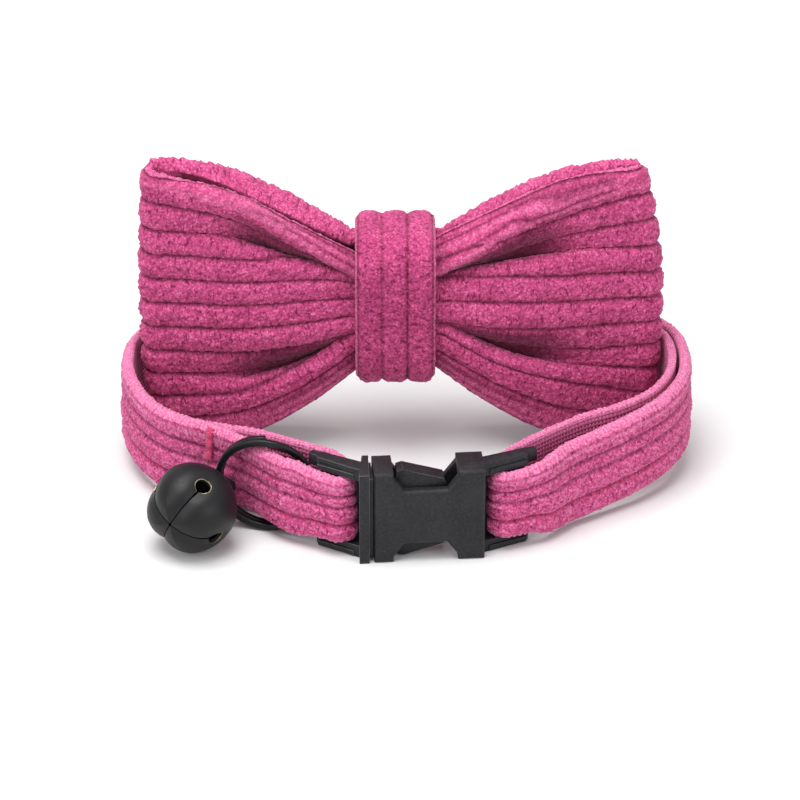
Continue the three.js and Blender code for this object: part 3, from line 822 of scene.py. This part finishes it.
# Points of the bow: its middle, then half the cloth, ribs, tufts and the rolled rear on either face
def bow_place(column, row):
    along, wale, tuft = bow_crossing(column, row)
    across, face, over = BOW_WALL.at(row)
    share, side, turn = bow_station(along)
    tuft = tuft - 0.5
    rib = ribs_between(BOW_GROOVES, across, along) * (1 - 0.4 * gathered(share))
    inside = 0.5 * (1 - ease(share, 0.8, 1))
    stand = face * CLOTH / 2 + np.where(face > 0, 1, inside) * face * rib * RIB
    front = turn < math.pi / 2
    crease = crease_share(share, side, across) * (1 - ease(share, 0.6, 0.95))
    flap = (1 - ease(wale, 1.6, 2.6)) * (1 - ease(share, 0.35, 0.7))
    stand *= np.where(front, 1 - 0.5 * np.maximum(ease(crease, 0.2, 0.8), flap), 1)
    pile = np.where(face > 0.9, BOW_TUFT, BOW_TUFT_INSIDE) * (1 - 0.4 * gathered(share))
    stand += tuft * pile * np.sign(face)
    rear = ease(turn, 1.2, 2.2)
    stand -= np.where(face < 0, -face * rear * rear_roll(share, side, across), 0)
    rim = 0.35 + 0.35 * rear
    points = bow_point(along, across) + bow_normal(along, across) * stand[:, None]
    points[:, 2] += over * rim + np.where(over > 0.1, tuft * (0.4 + 0.5 * rear), 0)
    points = turned_bow(points)
    points[:, 2] = np.maximum(points[:, 2], OFF_FLOOR + 0.06 * (tuft + 0.5))
    return points


# Rows of the fold table at a place along the wing, in wales from the top edge
def fold_rows(share, side):
    pairs = zip(fold_places(LEFT_FOLDS, share), fold_places(RIGHT_FOLDS, share))
    return [on_side(side, *pair) for pair in pairs]


# Shade in the folds: strong where the cloth faces down, weaker where it faces up, none at the wing's end
def fold_shade(share, side, across, wale):
    rows = fold_rows(share, side)
    crease = crease_share(share, side, across)
    facing_down = (wale < rows[TOP_CREASE]) | ((wale > rows[LOW_RIDGE]) & (wale < rows[LOW_CREASE]))
    slope = 0.84 * ease(crease, 0.02, 0.2) + 0.16 * ease(crease, 0.35, 0.85)
    shade = np.where(facing_down, slope, ease(crease, 0.4, 0.9))
    return shade * (1 - ease(share, 0.52, 0.88))


# Painted shade in the gap between the front's edge and the rear panel's rolled top
def rear_gap_shade(share, side, across):
    below = rear_high(share) * (1 - across)
    gap_shade = ease(below, on_side(side, 0.35, 0.1), on_side(side, 0.8, 0.45))
    return gap_shade * (1 - ease(share, 0.9, 1.0))


def bow_marks(column, row):
    along, wale, tuft = bow_crossing(column, row)
    across, face, over = BOW_WALL.at(row)
    share, side, turn = bow_station(along)
    front = (turn < math.pi / 2) & (face > -0.5)
    rear = (turn > math.pi / 2) & (face < 0.5)
    rolled = rear & (across > 0.84)
    rim = np.abs(over)
    near = 1 - ease(share, 0.5, 0.85)
    band = np.maximum(fold_rows(share, side)[TOP_RIDGE], on_side(side, LEFT_BAND, RIGHT_BAND))
    striped = on_side(side, near, 1 - ease(share, 0.9, 1.0))
    # Pale lines: the front's rim, and painted highlights along the top band's ridge, halfway up the band
    # and on the low edge's narrow ribs
    light = np.where(front & (rim > 0.3), 0.4, 0)
    lines = [(band, 0.6), (0.5 * band, 0.5 * striped)]
    lines += [(place, 0.45 * near) for place in LOW_LINES]
    for place, strength in lines:
        light = np.maximum(light, np.where(front, strength * line_at(wale, place, 0.05), 0))
    # Painted shade: in the rib grooves, the narrow grooves of the rolled edges, the right rear edge's
    # stripes and the gap behind the front's edge; the painted shade of the folds is added at the end
    groove = 1 - ribs_between(BOW_GROOVES, across, along)
    groove = np.where((light > 0.12) | rolled | (rim > 0.05), 0, groove)
    for place in LOW_GROOVES:
        narrow = front & (np.abs(wale - place) < 0.07)
        groove = np.where(narrow, np.maximum(groove, 0.7 * near), groove)
    for part in BAND_GROOVES:
        dark = 0.82 * striped * line_at(wale, part * band, 0.075)
        groove = np.where(front & (rim < 0.05), np.maximum(groove, dark), groove)
    for place in REAR_STRIPES:
        groove = np.where(rolled & (side > 0) & (np.abs(across - place) < 0.007), 0.75, groove)
    groove = np.where(rear & (face < -0.5), np.maximum(groove, rear_gap_shade(share, side, across)), groove)
    shade = np.where(front, fold_shade(share, side, across, wale), 0)
    drawn = 0.85 * (1 - ease(wale, 0.9 * band, 0.9 * band + 0.3))
    return cloth_marks(
        tuft,
        groove=np.maximum(groove, shade),
        edge=light * stitches(along, STITCH, 0.62),
        drawn=np.where(front, drawn, 0),
    )


def make_bow():
    piece = laid_grid("bow_cloth", BOW_COLUMNS, BOW_WALL.rows, bow_place, bow_marks)
    keep(piece, corduroy("bow corduroy", BOW_ROUND, BOW_ROW * BOW_WALL.rows), "bow_corduroy", "bow")


# Knot band round the bow's middle
KNOT_COLUMNS = 200
KNOT_WALL = Wall(even(-1, 1, 38), even(1, -1, 12), 5)
KNOT_ROW = 0.332
KNOT_LIFT = -0.04
KNOT_TUFTS = tufts(KNOT_COLUMNS, KNOT_WALL.rows, 23)
KNOT_GROOVES = (-1, -0.35, 0.32, 1)
KNOT_ROUND = 68.0
KNOT_OFF = -0.25
KNOT_RIM = 0.4
KNOT_TUFT = 0.5


def knot_point(column):
    deep, high = squared_circle(2 * math.pi * column / KNOT_COLUMNS)
    return np.stack((0 * deep, KNOT_HALF_DEEP * deep, KNOT_HALF_HIGH * high), axis=-1)


def knot_place(column, row):
    ahead = unit(knot_point(column + 0.3) - knot_point(column - 0.3))
    out = np.stack((0 * ahead[:, 0], ahead[:, 2], -ahead[:, 1]), axis=-1)
    across, face, over = KNOT_WALL.at(row)
    along = (column % KNOT_COLUMNS) / KNOT_COLUMNS * KNOT_ROUND
    tuft = KNOT_TUFTS[column % KNOT_COLUMNS, row % KNOT_WALL.rows] - 0.5
    rib = ribs_between(KNOT_GROOVES, across, along)
    pile = np.clip(face, 0, 1)
    stand = face * CLOTH / 2 + RIB * rib * pile + KNOT_TUFT * tuft * pile
    points = knot_point(column) + out * stand[:, None]
    fray = 0.18 * tuft * (np.abs(over) > 0.1)
    points[:, 0] = across * (KNOT_WIDE / 2 - 0.45) + KNOT_RIM * over + fray + KNOT_OFF
    points[:, 1] += KNOT_BACK
    points[:, 2] += KNOT_RISE
    return turned_bow(points)


# Pale rims of the band, and painted shade in its rib grooves
def knot_marks(column, row):
    across, face, over = KNOT_WALL.at(row)
    along = (column % KNOT_COLUMNS) / KNOT_COLUMNS * KNOT_ROUND
    rib = ribs_between(KNOT_GROOVES, across, along)
    light = np.where((np.abs(over) > 0.5) & (face > -0.5), 0.5, 0.0)
    return cloth_marks(
        KNOT_TUFTS[column % KNOT_COLUMNS, row % KNOT_WALL.rows],
        groove=np.where(light > 0, 0, 1 - rib) * np.clip(face, 0, 1) * 0.8,
        edge=light * stitches(along, STITCH, 0.6),
        woven=np.where(face < -0.5, 1.0, 0.0),
    )


def make_knot():
    piece = laid_grid("knot_band", KNOT_COLUMNS, KNOT_WALL.rows, knot_place, knot_marks)
    finish = corduroy("knot corduroy", KNOT_ROUND, KNOT_ROW * KNOT_WALL.rows, KNOT_LIFT)
    keep(piece, finish, "knot_corduroy", "bow_knot")


# Strap: round a buckle bar as distance along the arm, distance behind its middle, width, share of pile
BAR_TURN = (
    (9.6, -1.9, 12.4, 1),
    (7.6, -1.8, STRAP_IN_FRAME, 1),
    (5.2, -1.8, STRAP_IN_FRAME, 1),
    (3.1, -1.6, STRAP_IN_FRAME, 1),
    (2.0, -0.3, STRAP_IN_FRAME, 1),
    (2.7, 1.5, STRAP_IN_FRAME, 0.5),
    (4.4, 3.0, STRAP_IN_FRAME, 0),
    (7.0, 3.9, 12, 0),
)
# Middle of the strap as x, y, z, and its width where that isn't the full one
SEWN_END = (
    (-30.2, 7.3, 6.9),
    (-26.6, 5.4, 7.1),
    (-22.0, 2.9, 7.4),
    (-17.6, 0.2, 7.4),
    (-13.7, -2.2, 7.5, 12.6),
)
ROUND_THE_LOOP = (
    (-18.4, -5.6, 7.9, 11.4),
    (-20.9, -2.6, 8.0, STRAP_IN_RING),
    (-23.4, 0.7, 8.0, STRAP_IN_RING),
    (-26.4, 3.4, 7.8, 12.4),
    (-29.8, 5.3, 7.9),
    (-33.2, 7.0, 8.2),
    (-36.2, 9.6, 8.5),
    (-38.8, 14.2, 8.8),
    (-40.4, 20.0, 9.0),
    (-40.7, 25.8, 9.2),
    (-39.4, 31.0, 9.8),
    (-35.0, 34.4, 11.4),
    (-25.0, 34.0, 15.8),
    (-12.0, 31.4, 21.2),
    (-4.3, 29.85, 23.6, 12.4),
    (7.7, 28.9, 23.8, 12.4),
    (15.0, 29.6, 21.8),
    (28.0, 30.6, 16.2),
    (38.0, 30.6, 12.2),
    (43.2, 28.9, 11.0),
    (45.7, 25.4, 10.7),
    (46.5, 20.6, 10.4),
    (46.2, 15.6, 10.2),
    (44.8, 10.2, 10.0),
    (41.6, 5.0, 9.6),
    (36.8, 0.8, 9.0),
    (31.0, -2.6, 8.2),
    (25.4, -5.8, 7.7),
)
TURNED_BACK = (
    (22.8, -1.2, 7.7),
    (28.4, 1.8, 8.2),
    (34.6, 3.6, 8.9),
    (39.6, 6.4, 9.6),
    (42.9, 11.0, 10.0),
    (44.4, 15.9, 10.2),
    (44.75, 20.4, 10.4),
    (44.0, 24.4, 10.7),
    (41.8, 27.5, 11.0),
    (38.0, 28.8, 12.2),
)
STRAP_COLUMNS = 820
STRAP_WALL = Wall(even(-1, 1, 40), even(1, -1, 20), 6)
STRAP_ROW = 0.33
STRAP_LIFT = 0.07
STRAP_TUFTS = tufts(STRAP_COLUMNS + 1, STRAP_WALL.rows, 37)
STRAP_GROOVES = (-1, -0.46, 0.13, 0.49, 0.77, 1)
STRAP_CHAIN = 0.77
BRAID = 0.86
RUNNING_STITCH = 2.3
STRAP_RIM = 0.38
STRAP_TUFT = 0.55
STRAP_FRAY = 0.36


# Place so far along a bent arm of the buckle and so far behind its middle
def on_arm(flange, side, bend, along, behind):
    x = flange + side * (along * math.cos(bend) - behind * math.sin(bend))
    y = BUCKLE_Y + along * math.sin(bend) + behind * math.cos(bend)
    return x, y


def bar_turn(flange, side, bend):
    rows = []
    for along, behind, wide, pile in BAR_TURN:
        rows.append((*on_arm(flange, side, bend, along, behind), BUCKLE_HIGH / 2, wide, pile))
    return rows


# Rows of a table with their width and one share of pile
def laid_rows(table, pile):
    return [(x, y, z, wide[0] if wide else STRAP_WIDE, pile) for x, y, z, *wide in table]


def strap_rows():
    rows = laid_rows(SEWN_END, 0)
    rows += bar_turn(FLANGE_X, -1, MALE_BEND)[::-1]
    rows += laid_rows(ROUND_THE_LOOP, 1)
    rows += bar_turn(HOUSING_X + HOUSING_LONG, 1, FEMALE_BEND)
    rows += laid_rows(TURNED_BACK, 0)
    return np.array(rows)


# Strap's middle line cut into even steps, with its width, share of pile and directions
class Strip:
    def __init__(self, columns):
        rows = strap_rows()
        line = smooth_curve(rows[:, :3], 40)
        plain = np.linspace(0, len(rows) - 1, len(line))
        length = np.concatenate(((0,), np.cumsum(np.linalg.norm(np.diff(line, axis=0), axis=1))))
        self.length = length[-1]
        self.along = np.linspace(0, self.length, columns + 1)
        number = np.interp(self.along, length, plain)
        self.middle = np.stack([np.interp(self.along, length, line[:, k]) for k in range(3)], axis=-1)
        self.wide = np.interp(number, np.arange(len(rows)), rows[:, 3])
        window = np.hanning(int(columns * 7 / self.length))
        padded = np.pad(self.wide, len(window) // 2, mode="edge")
        self.wide = np.convolve(padded, window / window.sum(), mode="valid")[: columns + 1]
        self.pile = np.interp(number, np.arange(len(rows)), rows[:, 4])
        self.ahead = unit(np.gradient(self.middle, axis=0))
        up = np.array((0.0, 0.0, 1.0))
        self.tall = unit(up - self.ahead * (self.ahead @ up)[:, None])
        self.out = unit(np.cross(self.tall, self.ahead))


STRIP = Strip(STRAP_COLUMNS)


def strap_place(column, row):
    across, face, over = STRAP_WALL.at(row)
    along = STRIP.along[column]
    pile = STRIP.pile[column] * np.clip(face, 0, 1)
    tuft = STRAP_TUFTS[column, row % STRAP_WALL.rows] - 0.5
    rib = ribs_between(STRAP_GROOVES, across, along)
    braid = np.sin(2 * math.pi * along / BRAID + np.where(face > 0, 0, math.pi))
    lip = np.abs(over) > 0.1
    chain = line_at(across, STRAP_CHAIN, 0.05) * (face > 0.9)
    stand = face * CLOTH / 2 + RIB * rib * pile + tuft * STRAP_TUFT * np.clip(rib, 0.15, 1) * pile
    stand += np.where(lip, 0.1 * braid * np.abs(over) * np.sign(face), 0)
    stand += chain * (0.3 + 0.16 * braid) * STRIP.pile[column]
    up = across * STRIP.wide[column] / 2 + STRAP_RIM * over
    up += np.where(lip, (STRAP_FRAY * tuft + 0.05 * braid) * np.sign(over), 0)
    points = STRIP.middle[column] + STRIP.tall[column] * up[:, None]
    points = points + STRIP.out[column] * stand[:, None]
    points[:, 2] = np.maximum(points[:, 2], OFF_FLOOR)
    return points


# Pale rims, edges and chain line of the strap, and painted shade in its rib grooves
def strap_marks(column, row):
    across, face, over = STRAP_WALL.at(row)
    along = STRIP.along[column]
    pile = STRIP.pile[column]
    rib = ribs_between(STRAP_GROOVES, across, along)
    pale = (
        (np.abs(over) > 0.05, 0.95),
        ((np.abs(across - STRAP_CHAIN) < 0.05) & (face > 0), 0.75),
        (np.abs(across) > 0.95, 0.8),
        ((face < -0.9) & (np.abs(across) > 0.8), 0.6),
    )
    light = np.max([np.where(there, strength, 0.0) for there, strength in pale], axis=0)
    low_groove = (np.abs(across - STRAP_GROOVES[1]) < 0.04) & (face > 0.9)
    running = np.clip(1.4 * np.sin(2 * math.pi * along / RUNNING_STITCH), 0, 1)
    return cloth_marks(
        STRAP_TUFTS[column, row % STRAP_WALL.rows],
        groove=np.where(light > 0, 0, 1 - rib) * (face > 0.5) * pile,
        edge=light * stitches(along, BRAID, 0.62, np.where(face > 0, 0, math.pi)),
        woven=np.where(face < 0.5, 1.0, 1 - pile),
        seam=np.where(low_groove, 0.45 * running * pile, 0),
    )


# Round thread or wire swept along given points
def swept(name, points, radius, rows):
    ahead = unit(np.gradient(points, axis=0))
    lean = np.tile((0.13, 0.31, 0.94), (len(points), 1))
    side = unit(np.cross(ahead, lean))
    rise = np.cross(side, ahead)

    def place(column, row):
        turn = (2 * math.pi * row / rows)[:, None]
        return points[column] + radius * (np.cos(turn) * side[column] + np.sin(turn) * rise[column])

    return laid_grid(name, len(points) - 1, rows, place, capped=True)


# Bar tack that sews the strap's end down, a zigzag of thread from the top edge
TACK_AT = (-28.5, 4.7, 7.9)
TACK_LONG = 5.2
TACK_WIDE = 0.95
TACK_TURNS = 30
TACK_THREAD = 0.19


def make_tack():
    away = np.linalg.norm(STRIP.middle - np.array(TACK_AT), axis=1) + 5 * (STRIP.pile < 0.5)
    at = int(np.argmin(away))
    step = np.linspace(0, 1, TACK_TURNS * 4 + 1)
    swing = np.abs((step * TACK_TURNS) % 2 - 1) * 2 - 1
    up = STRIP.wide[at] / 2 + 0.2 - step * TACK_LONG
    across = np.clip(up / (STRIP.wide[at] / 2), -1, 1)
    rib = ribs_between(STRAP_GROOVES, across, STRIP.along[at] + 0 * step)
    stand = CLOTH / 2 + RIB * rib + 0.22
    points = STRIP.middle[at] + STRIP.tall[at] * up[:, None] + STRIP.out[at] * stand[:, None]
    points = points + STRIP.ahead[at] * (swing * TACK_WIDE / 2)[:, None]
    piece = swept("strap_bar_tack", points, TACK_THREAD, 6)
    return keep(piece, thread("tack thread", TACK_RED), "strap_corduroy")


def make_strap():
    columns, rows = STRAP_COLUMNS, STRAP_WALL.rows
    piece = laid_grid("strap_cloth", columns, rows, strap_place, strap_marks, capped=True)
    finish = corduroy("strap corduroy", STRIP.length, STRAP_ROW * rows, STRAP_LIFT)
    keep(piece, finish, "strap_corduroy", "strap")
    make_tack()


# Moulded pieces: the solid's own form with blocks added to it and softened edges, which carry a painted
# highlight
EDGE_ROUND = 0.16
EDGE_SHARP = 0.5
SHADE_SHARP = math.radians(50)


def moulded_copy(node, name, blocks):
    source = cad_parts[node]
    bm = bmesh.new()
    bm.from_mesh(source.data)
    bm.transform(source.matrix_world)
    bmesh.ops.remove_doubles(bm, verts=bm.verts, dist=SAME_POINT * MM)
    bmesh.ops.dissolve_limit(bm, angle_limit=math.radians(1), verts=bm.verts, edges=bm.edges)
    for centre, size, turn in blocks:
        place = Matrix.Translation(Vector(in_frame(centre))) @ Matrix.Rotation(turn, 4, "Z")
        place = place @ Matrix.Diagonal(Vector((*size, 1 / MM)) * MM)
        bmesh.ops.create_cube(bm, size=1, matrix=place)
    bmesh.ops.recalc_face_normals(bm, faces=bm.faces)
    sharp = [edge for edge in bm.edges if edge.is_manifold and edge.calc_face_angle(0) > EDGE_SHARP]
    # The softened edge faces carry the buckle's painted highlight; on the bell and ring this mark is real
    # wear
    wear_and_highlight = bm.faces.layers.float.new("wear_and_highlight")
    soft = {"offset": EDGE_ROUND * MM, "segments": 2, "profile": 0.5, "material": -1}
    for face in bmesh.ops.bevel(bm, geom=sharp, affect="EDGES", clamp_overlap=True, **soft)["faces"]:
        face[wear_and_highlight] = 1
    return smooth_piece(name, bm, bpy.data.meshes.new(name), SHADE_SHARP)


# Block on an arm: its middle along the arm and behind it, its height and size, turned with the arm
def arm_block(flange, side, bend, middle, z, size):
    return ((*on_arm(flange, side, bend, *middle), z), size, side * bend)


# Raised bands that leave a groove along each arm, the upper arm's end, the wall behind the strap's turn,
# and the plug's shoulder
BAND_MIDDLE = (3.6, -1.2)
BAND_HEIGHTS = (BUCKLE_HIGH - 1.38, 0.62)
BAND_SIZE = (6.4, 0.5, 0.85)
ARM_END = (7.6, 0.12)
ARM_END_HIGH = BUCKLE_HIGH - 0.98
ARM_END_SIZE = (2.6, 1.3, 1.84)
WALL_OFF = (0.3, 2.1)
WALL_SIZE = (1.4, 1.8, 11.0)
SHOULDER_OFF = (-0.72, 0.1)
SHOULDER_SIZE = (1.2, 5.2, 13.2)


def frame_blocks(flange, side, bend):
    blocks = [arm_block(flange, side, bend, BAND_MIDDLE, z, BAND_SIZE) for z in BAND_HEIGHTS]
    blocks.append(arm_block(flange, side, bend, ARM_END, ARM_END_HIGH, ARM_END_SIZE))
    wall = (flange + side * WALL_OFF[0], BUCKLE_Y + WALL_OFF[1], BUCKLE_HIGH / 2)
    blocks.append((wall, WALL_SIZE, 0))
    return blocks


def make_buckle():
    housing = frame_blocks(HOUSING_X + HOUSING_LONG, 1, FEMALE_BEND)
    plug = frame_blocks(FLANGE_X, -1, MALE_BEND)
    shoulder = (HOUSING_X + SHOULDER_OFF[0], BUCKLE_Y + SHOULDER_OFF[1], BUCKLE_HIGH / 2)
    plug.append((shoulder, SHOULDER_SIZE, 0))
    piece = moulded_copy("buckle_female", "buckle_housing", housing)
    keep(piece, moulded("housing plastic"), "buckle_housing", "buckle_female")
    piece = moulded_copy("buckle_male", "buckle_plug", plug)
    keep(piece, moulded("plug plastic"), "buckle_plug", "buckle_male")


# Split ring: flat rounded wire wound nearly twice round
RING_MIDDLE = np.array((-20.9, -2.6, 8.0))
RING_SIDE = np.array((-0.951, 0.309, 0.0))
RING_FACE = np.array((-0.309, -0.951, 0.0))
RING_OPEN = 1.0
RING_STEP = (2 * math.pi - 0.95, 2 * math.pi - 0.1)
RING_COLUMNS = 260
RING_ROWS = 20


def turned_frame(z_way, x_way):
    z = unit(z_way)
    x = unit(x_way - z * (x_way @ z))
    return np.stack((x, np.cross(z, x), z))


def ring_place(column, row):
    turn = column / RING_COLUMNS * (4 * math.pi - RING_OPEN)
    level = (ease(turn, *RING_STEP) - 0.5) * RING_PITCH
    out, up = squared_circle(2 * math.pi * row / RING_ROWS)
    radius = RING_RADIUS + RING_WIRE / 2 * out
    level += RING_COIL / 2 * up
    points = np.stack((radius * np.cos(turn), radius * np.sin(turn), level), axis=-1)
    return points @ turned_frame(RING_FACE, np.array((0.0, 0.0, 1.0))) + RING_MIDDLE


def ring_marks(_, row):
    return {"wear_and_highlight": np.full(len(row), 0.1)}


def make_ring():
    piece = laid_grid("ring_wire", RING_COLUMNS, RING_ROWS, ring_place, ring_marks, capped=True)
    keep(piece, lacquer("ring lacquer", 0.2), "ring_wire", "split_ring")


# Bell: a dome, four petals pressed in along their slits and round their holes, and an eye
BELL_MIDDLE = np.array((-32.3, -7.3, BELL_RADIUS - 0.02))
BELL_SPIN = math.radians(24)
EYE_AT = math.radians(11)
HOLE_TURN = math.radians(76)
DOME_TURN = HOLE_TURN + BELL_HOLE / BELL_RADIUS
SLIT_PRESS = 0.075
BROAD_PRESS = 0.035
HOLE_PRESS = 0.045
PETAL_TIP = 0.26
PETAL_WIDE = 26
PETAL_LONG = 64
PETAL_LAP = 2 * PETAL_WIDE + 2
PETAL_SHARP = math.radians(48)
DOME_LONG = 40
EYE_COLUMNS = 56
EYE_ROWS = 14


# The bell's own directions, with its eye through the ring, and how far the eye lies from its middle
def bell_frame():
    side, face = unit(RING_SIDE), unit(RING_FACE)
    rise = -np.cross(side, face)
    held = RING_MIDDLE + RING_RADIUS * (math.cos(EYE_AT) * side + math.sin(EYE_AT) * rise)
    wire = math.cos(EYE_AT) * rise - math.sin(EYE_AT) * side
    axis = held - BELL_MIDDLE
    way = Matrix.Rotation(BELL_SPIN, 3, Vector(axis)) @ Vector(np.cross(side, wire))
    return turned_frame(axis, np.array(way)), float(np.linalg.norm(axis))


BELL_TURNED, EYE_AWAY = bell_frame()


# Point of the shell at an angle from the slit pole and a turn about the axis, some way under its skin
def shell_point(tilt, turn, under):
    off = np.abs(np.mod(turn + math.pi / 4, math.pi / 2) - math.pi / 4) * np.sin(tilt)
    low = ease(tilt, DOME_TURN + 0.5, DOME_TURN - 0.45)
    press = SLIT_PRESS * np.exp(-np.abs(off / 0.2) ** 1.4) + BROAD_PRESS * line_at(off, 0, 0.5)
    near = np.exp(-(((tilt - HOLE_TURN) / 0.34) ** 2 + (off / 0.36) ** 2))
    radius = BELL_RADIUS * (1 - low * press - HOLE_PRESS * near) - under
    flat = radius * np.sin(tilt)
    points = np.stack((flat * np.cos(turn), flat * np.sin(turn), -radius * np.cos(tilt)), axis=-1)
    return points @ BELL_TURNED + BELL_MIDDLE


# Half of the opening between two petals: a slit that widens into a round hole, as an angle
def slit_half(tilt):
    flat = BELL_RADIUS * np.sin(tilt)
    drop = BELL_RADIUS * (tilt - HOLE_TURN)
    hole = np.sqrt(np.clip(BELL_HOLE**2 - drop**2, 0, None))
    slit = np.where(tilt < HOLE_TURN, BELL_SLIT * (0.3 + 0.9 * (tilt / HOLE_TURN) ** 4), 0)
    return np.clip(np.maximum(hole, slit) / flat, 0, math.pi / 4)


def petal_place(quarter):
    first = math.asin(PETAL_TIP / BELL_RADIUS)

    def place(column, row):
        tilt = first + (DOME_TURN - first) * column / PETAL_LONG
        half = slit_half(tilt)
        lap = row % PETAL_LAP
        inner = lap > PETAL_WIDE
        share = np.where(inner, PETAL_LAP - 1 - lap, lap) / PETAL_WIDE
        turn = (quarter + 0.5) * math.pi / 2 + (2 * share - 1) * (math.pi / 4 - half)
        return shell_point(tilt, turn, np.where(inner, BELL_SHEET, 0))

    return place


def petal_marks(column, row):
    lap = row % PETAL_LAP
    rim = (lap == 0) | (lap == PETAL_WIDE)
    tilt = column / PETAL_LONG
    return {"wear_and_highlight": np.where(rim, 0.5 + 0.34 * ease(tilt, 0.6, 0.78), 0)}


def dome_place(under):
    def place(column, row):
        tilt = DOME_TURN + (math.pi - DOME_TURN) * row / DOME_LONG
        return shell_point(tilt, math.pi / 4 + 2 * math.pi * column / (4 * PETAL_WIDE), under)

    return place


def eye_place(column, row):
    turn, round_wire = 2 * math.pi * column / EYE_COLUMNS, 2 * math.pi * row / EYE_ROWS
    radius = EYE_RADIUS + EYE_WIRE * np.cos(round_wire)
    x, z = radius * np.cos(turn), radius * np.sin(turn) + EYE_AWAY
    y = EYE_WIRE * np.sin(round_wire)
    c, s = math.cos(-BELL_SPIN), math.sin(-BELL_SPIN)
    return np.stack((c * x - s * y, s * x + c * y, z), axis=-1) @ BELL_TURNED + BELL_MIDDLE


def unworn(_, row):
    return {"wear_and_highlight": np.zeros(len(row))}


# One piece of several grids, their shared edges merged
def joined(name, pieces):
    bm = bmesh.new()
    for piece in pieces:
        bm.from_mesh(piece.data)
        mesh = piece.data
        bpy.data.objects.remove(piece)
        bpy.data.meshes.remove(mesh)
    bmesh.ops.remove_doubles(bm, verts=bm.verts, dist=2 * SAME_POINT * MM)
    return smooth_piece(name, bm, bpy.data.meshes.new(name), PETAL_SHARP)


def make_bell():
    grids = []
    for quarter in range(4):
        place = petal_place(quarter)
        grids.append(laid_grid(f"petal {quarter}", PETAL_LONG, PETAL_LAP, place, petal_marks))
    for under in (0, BELL_SHEET):
        grids.append(laid_grid("dome", 4 * PETAL_WIDE, DOME_LONG, dome_place(under), unworn))
    grids.append(laid_grid("eye", EYE_COLUMNS, EYE_ROWS, eye_place, unworn))
    piece = joined("bell_shell", grids)
    keep(piece, lacquer("bell lacquer", 0.34), "bell_shell", "bell")


# Clapper: a steel ball lying in the bell
BALL_RADIUS = 2.0
BALL_COLUMNS = 40
BALL_ROWS = 20
BALL_CLEAR = 0.5
BALL_MIDDLE = np.array((*BELL_MIDDLE[:2], BELL_SHEET + BALL_CLEAR + BALL_RADIUS))


def ball_place(column, row):
    turn, tilt = 2 * math.pi * column / BALL_COLUMNS, math.pi * row / BALL_ROWS
    flat = np.sin(tilt)
    points = np.stack((flat * np.cos(turn), flat * np.sin(turn), np.cos(tilt)), axis=-1)
    return BALL_RADIUS * points + BALL_MIDDLE


def make_ball():
    piece = laid_grid("bell_clapper", BALL_COLUMNS, BALL_ROWS, ball_place)
    keep(piece, steel("clapper steel"), "bell_clapper", "bell_ball")


# Floor and light of a plain studio: size, power and place of each lamp, in metres and watts
FLOOR_TONE = 0.66
ROOM_LIGHT = 0.66
LIT_MIDDLE = Vector((0, 0, 0.02))
SOFTBOXES = (
    ("softbox above", 0.42, 4.6, (-0.1, -0.06, 0.62)),
    ("softbox left", 0.35, 1.2, (-0.5, -0.35, 0.35)),
    ("softbox right", 0.45, 1.5, (0.45, -0.5, 0.3)),
)


def make_studio():
    bm = bmesh.new()
    bmesh.ops.create_grid(bm, x_segments=1, y_segments=1, size=2)
    mesh = bpy.data.meshes.new("floor")
    bm.to_mesh(mesh)
    bm.free()
    floor = placed("floor", mesh)
    material, _, shader = new_material("pale floor")
    shader.inputs["Base Color"].default_value = (FLOOR_TONE, FLOOR_TONE, FLOOR_TONE, 1)
    shader.inputs["Roughness"].default_value = 0.9
    mesh.materials.append(material)
    world = bpy.data.worlds.new("studio")
    world.use_nodes = True
    room = world.node_tree.nodes["Background"]
    room.inputs[0].default_value = (1, 1, 1, 1)
    room.inputs[1].default_value = ROOM_LIGHT
    bpy.context.scene.world = world
    for name, size, power, place in SOFTBOXES:
        light = bpy.data.lights.new(name, "AREA")
        light.size = size
        light.energy = power
        lamp = placed(name, light)
        lamp.location = place
        lamp.rotation_euler = (LIT_MIDDLE - Vector(place)).to_track_quat("-Z", "Y").to_euler()
    bpy.context.scene.view_settings.view_transform = "Standard"


make_camera()
make_studio()
make_bow()
make_knot()
make_strap()
make_buckle()
make_ring()
make_bell()
make_ball()
